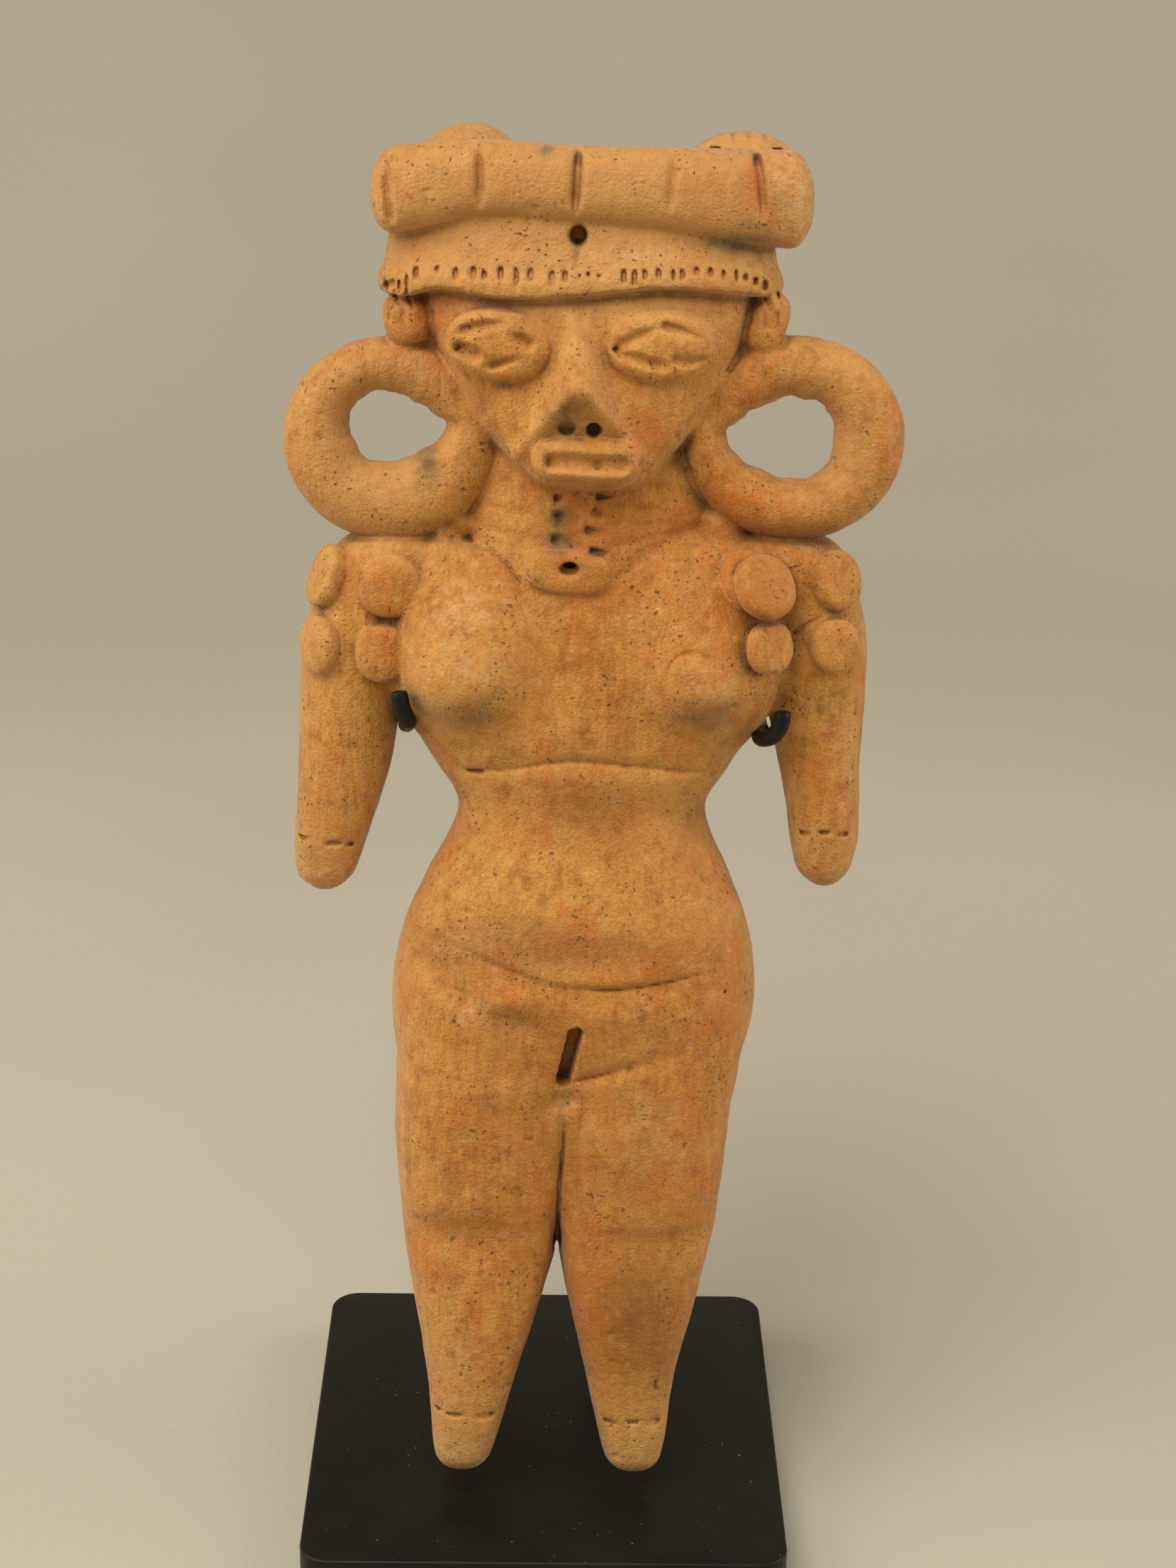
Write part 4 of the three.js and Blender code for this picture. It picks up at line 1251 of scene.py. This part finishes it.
def plate_piece(paint):
    """The square plate with rounded corners and softly rounded edges."""
    shape = bmesh.new()
    levels = [(0, PLATE_EDGE)]
    for angle in np.linspace(0, math.pi / 2, 5):
        levels.append((PLATE_EDGE * (1 - math.cos(angle)), PLATE_EDGE * (1 - math.sin(angle))))
    for angle in np.linspace(math.pi / 2, 0, 5):
        levels.append((PLATE_TOP - PLATE_EDGE * (1 - math.cos(angle)), PLATE_EDGE * (1 - math.sin(angle))))
    rings = []
    for height, inset in levels[1:]:
        ring = []
        reach = PLATE_SIDE / 2 - PLATE_CORNER
        for turn in np.linspace(0, 2 * math.pi, 65)[:-1]:
            for quadrant in range(4):
                if quadrant * math.pi / 2 <= turn < (quadrant + 1) * math.pi / 2:
                    corner_x = reach if quadrant in (0, 3) else -reach
                    corner_y = reach if quadrant in (0, 1) else -reach
            radius = PLATE_CORNER - inset
            ring.append(shape.verts.new((corner_x + radius * math.cos(turn), corner_y + radius * math.sin(turn), height)))
        rings.append(ring)
    for first, second in zip(rings[:-1], rings[1:]):
        for i in range(64):
            j = (i + 1) % 64
            shape.faces.new((first[i], first[j], second[j], second[i]))
    shape.faces.new(rings[0][::-1])
    shape.faces.new(rings[-1])
    return finished("painted_plate", shape, paint)


def backdrop():
    """A pale floor that sweeps up behind the object."""
    radius = 0.35
    turn = 0.30
    profile = [(-0.9, 0.0)]
    for angle in np.linspace(0, math.pi / 2, 25):
        profile.append((turn + radius * math.sin(angle), radius * (1 - math.cos(angle))))
    profile.append((turn + radius, 1.4))
    points = [(x, y, z) for x in (-1.2, 1.2) for y, z in profile]
    count = len(profile)
    faces = [(i, i + 1, i + 1 + count, i + count) for i in range(count - 1)]
    sweep = mesh_object("backdrop", points, faces)
    sweep.data.shade_smooth()
    sweep.data.materials.append(paper_material())


def area_light(name, place, aim, size, power, colour):
    light = bpy.data.lights.new(name, "AREA")
    light.shape = "DISK"
    light.size = size
    light.energy = power
    light.color = colour
    lamp = bpy.data.objects.new(name, light)
    lamp.location = place
    lamp.rotation_euler = (Vector(aim) - Vector(place)).to_track_quat("-Z", "Y").to_euler()
    bpy.context.collection.objects.link(lamp)


def lights():
    middle = (0, 0, 0.09)
    area_light("key_light", (-0.16, -0.26, 0.56), middle, 0.40, 2.6, (1.0, 0.97, 0.92))
    area_light("left_light", (-0.58, -0.12, 0.36), middle, 0.50, 2.2, (1.0, 0.97, 0.93))
    area_light("right_light", (0.58, -0.12, 0.32), middle, 0.50, 2.1, (1.0, 0.97, 0.93))
    world = bpy.data.worlds.new("studio")
    world.use_nodes = True
    background = world.node_tree.nodes["Background"]
    background.inputs["Color"].default_value = (1.0, 0.98, 0.94, 1)
    background.inputs["Strength"].default_value = 0.36
    bpy.context.scene.world = world
    bpy.context.scene.view_settings.view_transform = "Standard"


# The photograph's view: where the camera stands from the middle of the plate's top, in millimetres, and how far
# it looks down, to the right and rolls clockwise, in degrees
CAMERA_FROM_PLATE = (-0.867, -260.444, 183.143)
LOOK_DOWN = 22.2526
LOOK_RIGHT = 0.9541
LOOK_TILT = 1.0881
FOCAL_LENGTH = 63.85


def camera():
    down = math.radians(LOOK_DOWN)
    aside = math.radians(LOOK_RIGHT)
    roll = math.radians(LOOK_TILT)
    ahead = Vector((math.sin(aside) * math.cos(down), math.cos(aside) * math.cos(down), -math.sin(down)))
    level = Vector((math.cos(aside), -math.sin(aside), 0))
    upright = level.cross(ahead)
    right = math.cos(roll) * level + math.sin(roll) * upright
    up = math.cos(roll) * upright - math.sin(roll) * level
    data = bpy.data.cameras.new("view")
    data.lens = FOCAL_LENGTH
    data.sensor_width = 36
    data.clip_start = 0.01
    eye = bpy.data.objects.new("view", data)
    turn = Matrix((right, up, -ahead)).transposed().to_4x4()
    x, y, z = CAMERA_FROM_PLATE
    eye.matrix_world = Matrix.Translation(Vector((x, y, z + PLATE_TOP)) * MM) @ turn
    bpy.context.collection.objects.link(eye)
    bpy.context.scene.camera = eye


figurine = figurine_mesh()
figurine.data.materials.append(clay_material())
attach(figurine, "root")
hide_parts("figurine")

paint = paint_material()
cradle = cradle_piece(paint)
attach(cradle, "root")
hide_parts("wire_cradle")
plate = plate_piece(paint)
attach(plate, "root")
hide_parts("base_plate")

backdrop()
lights()
camera()
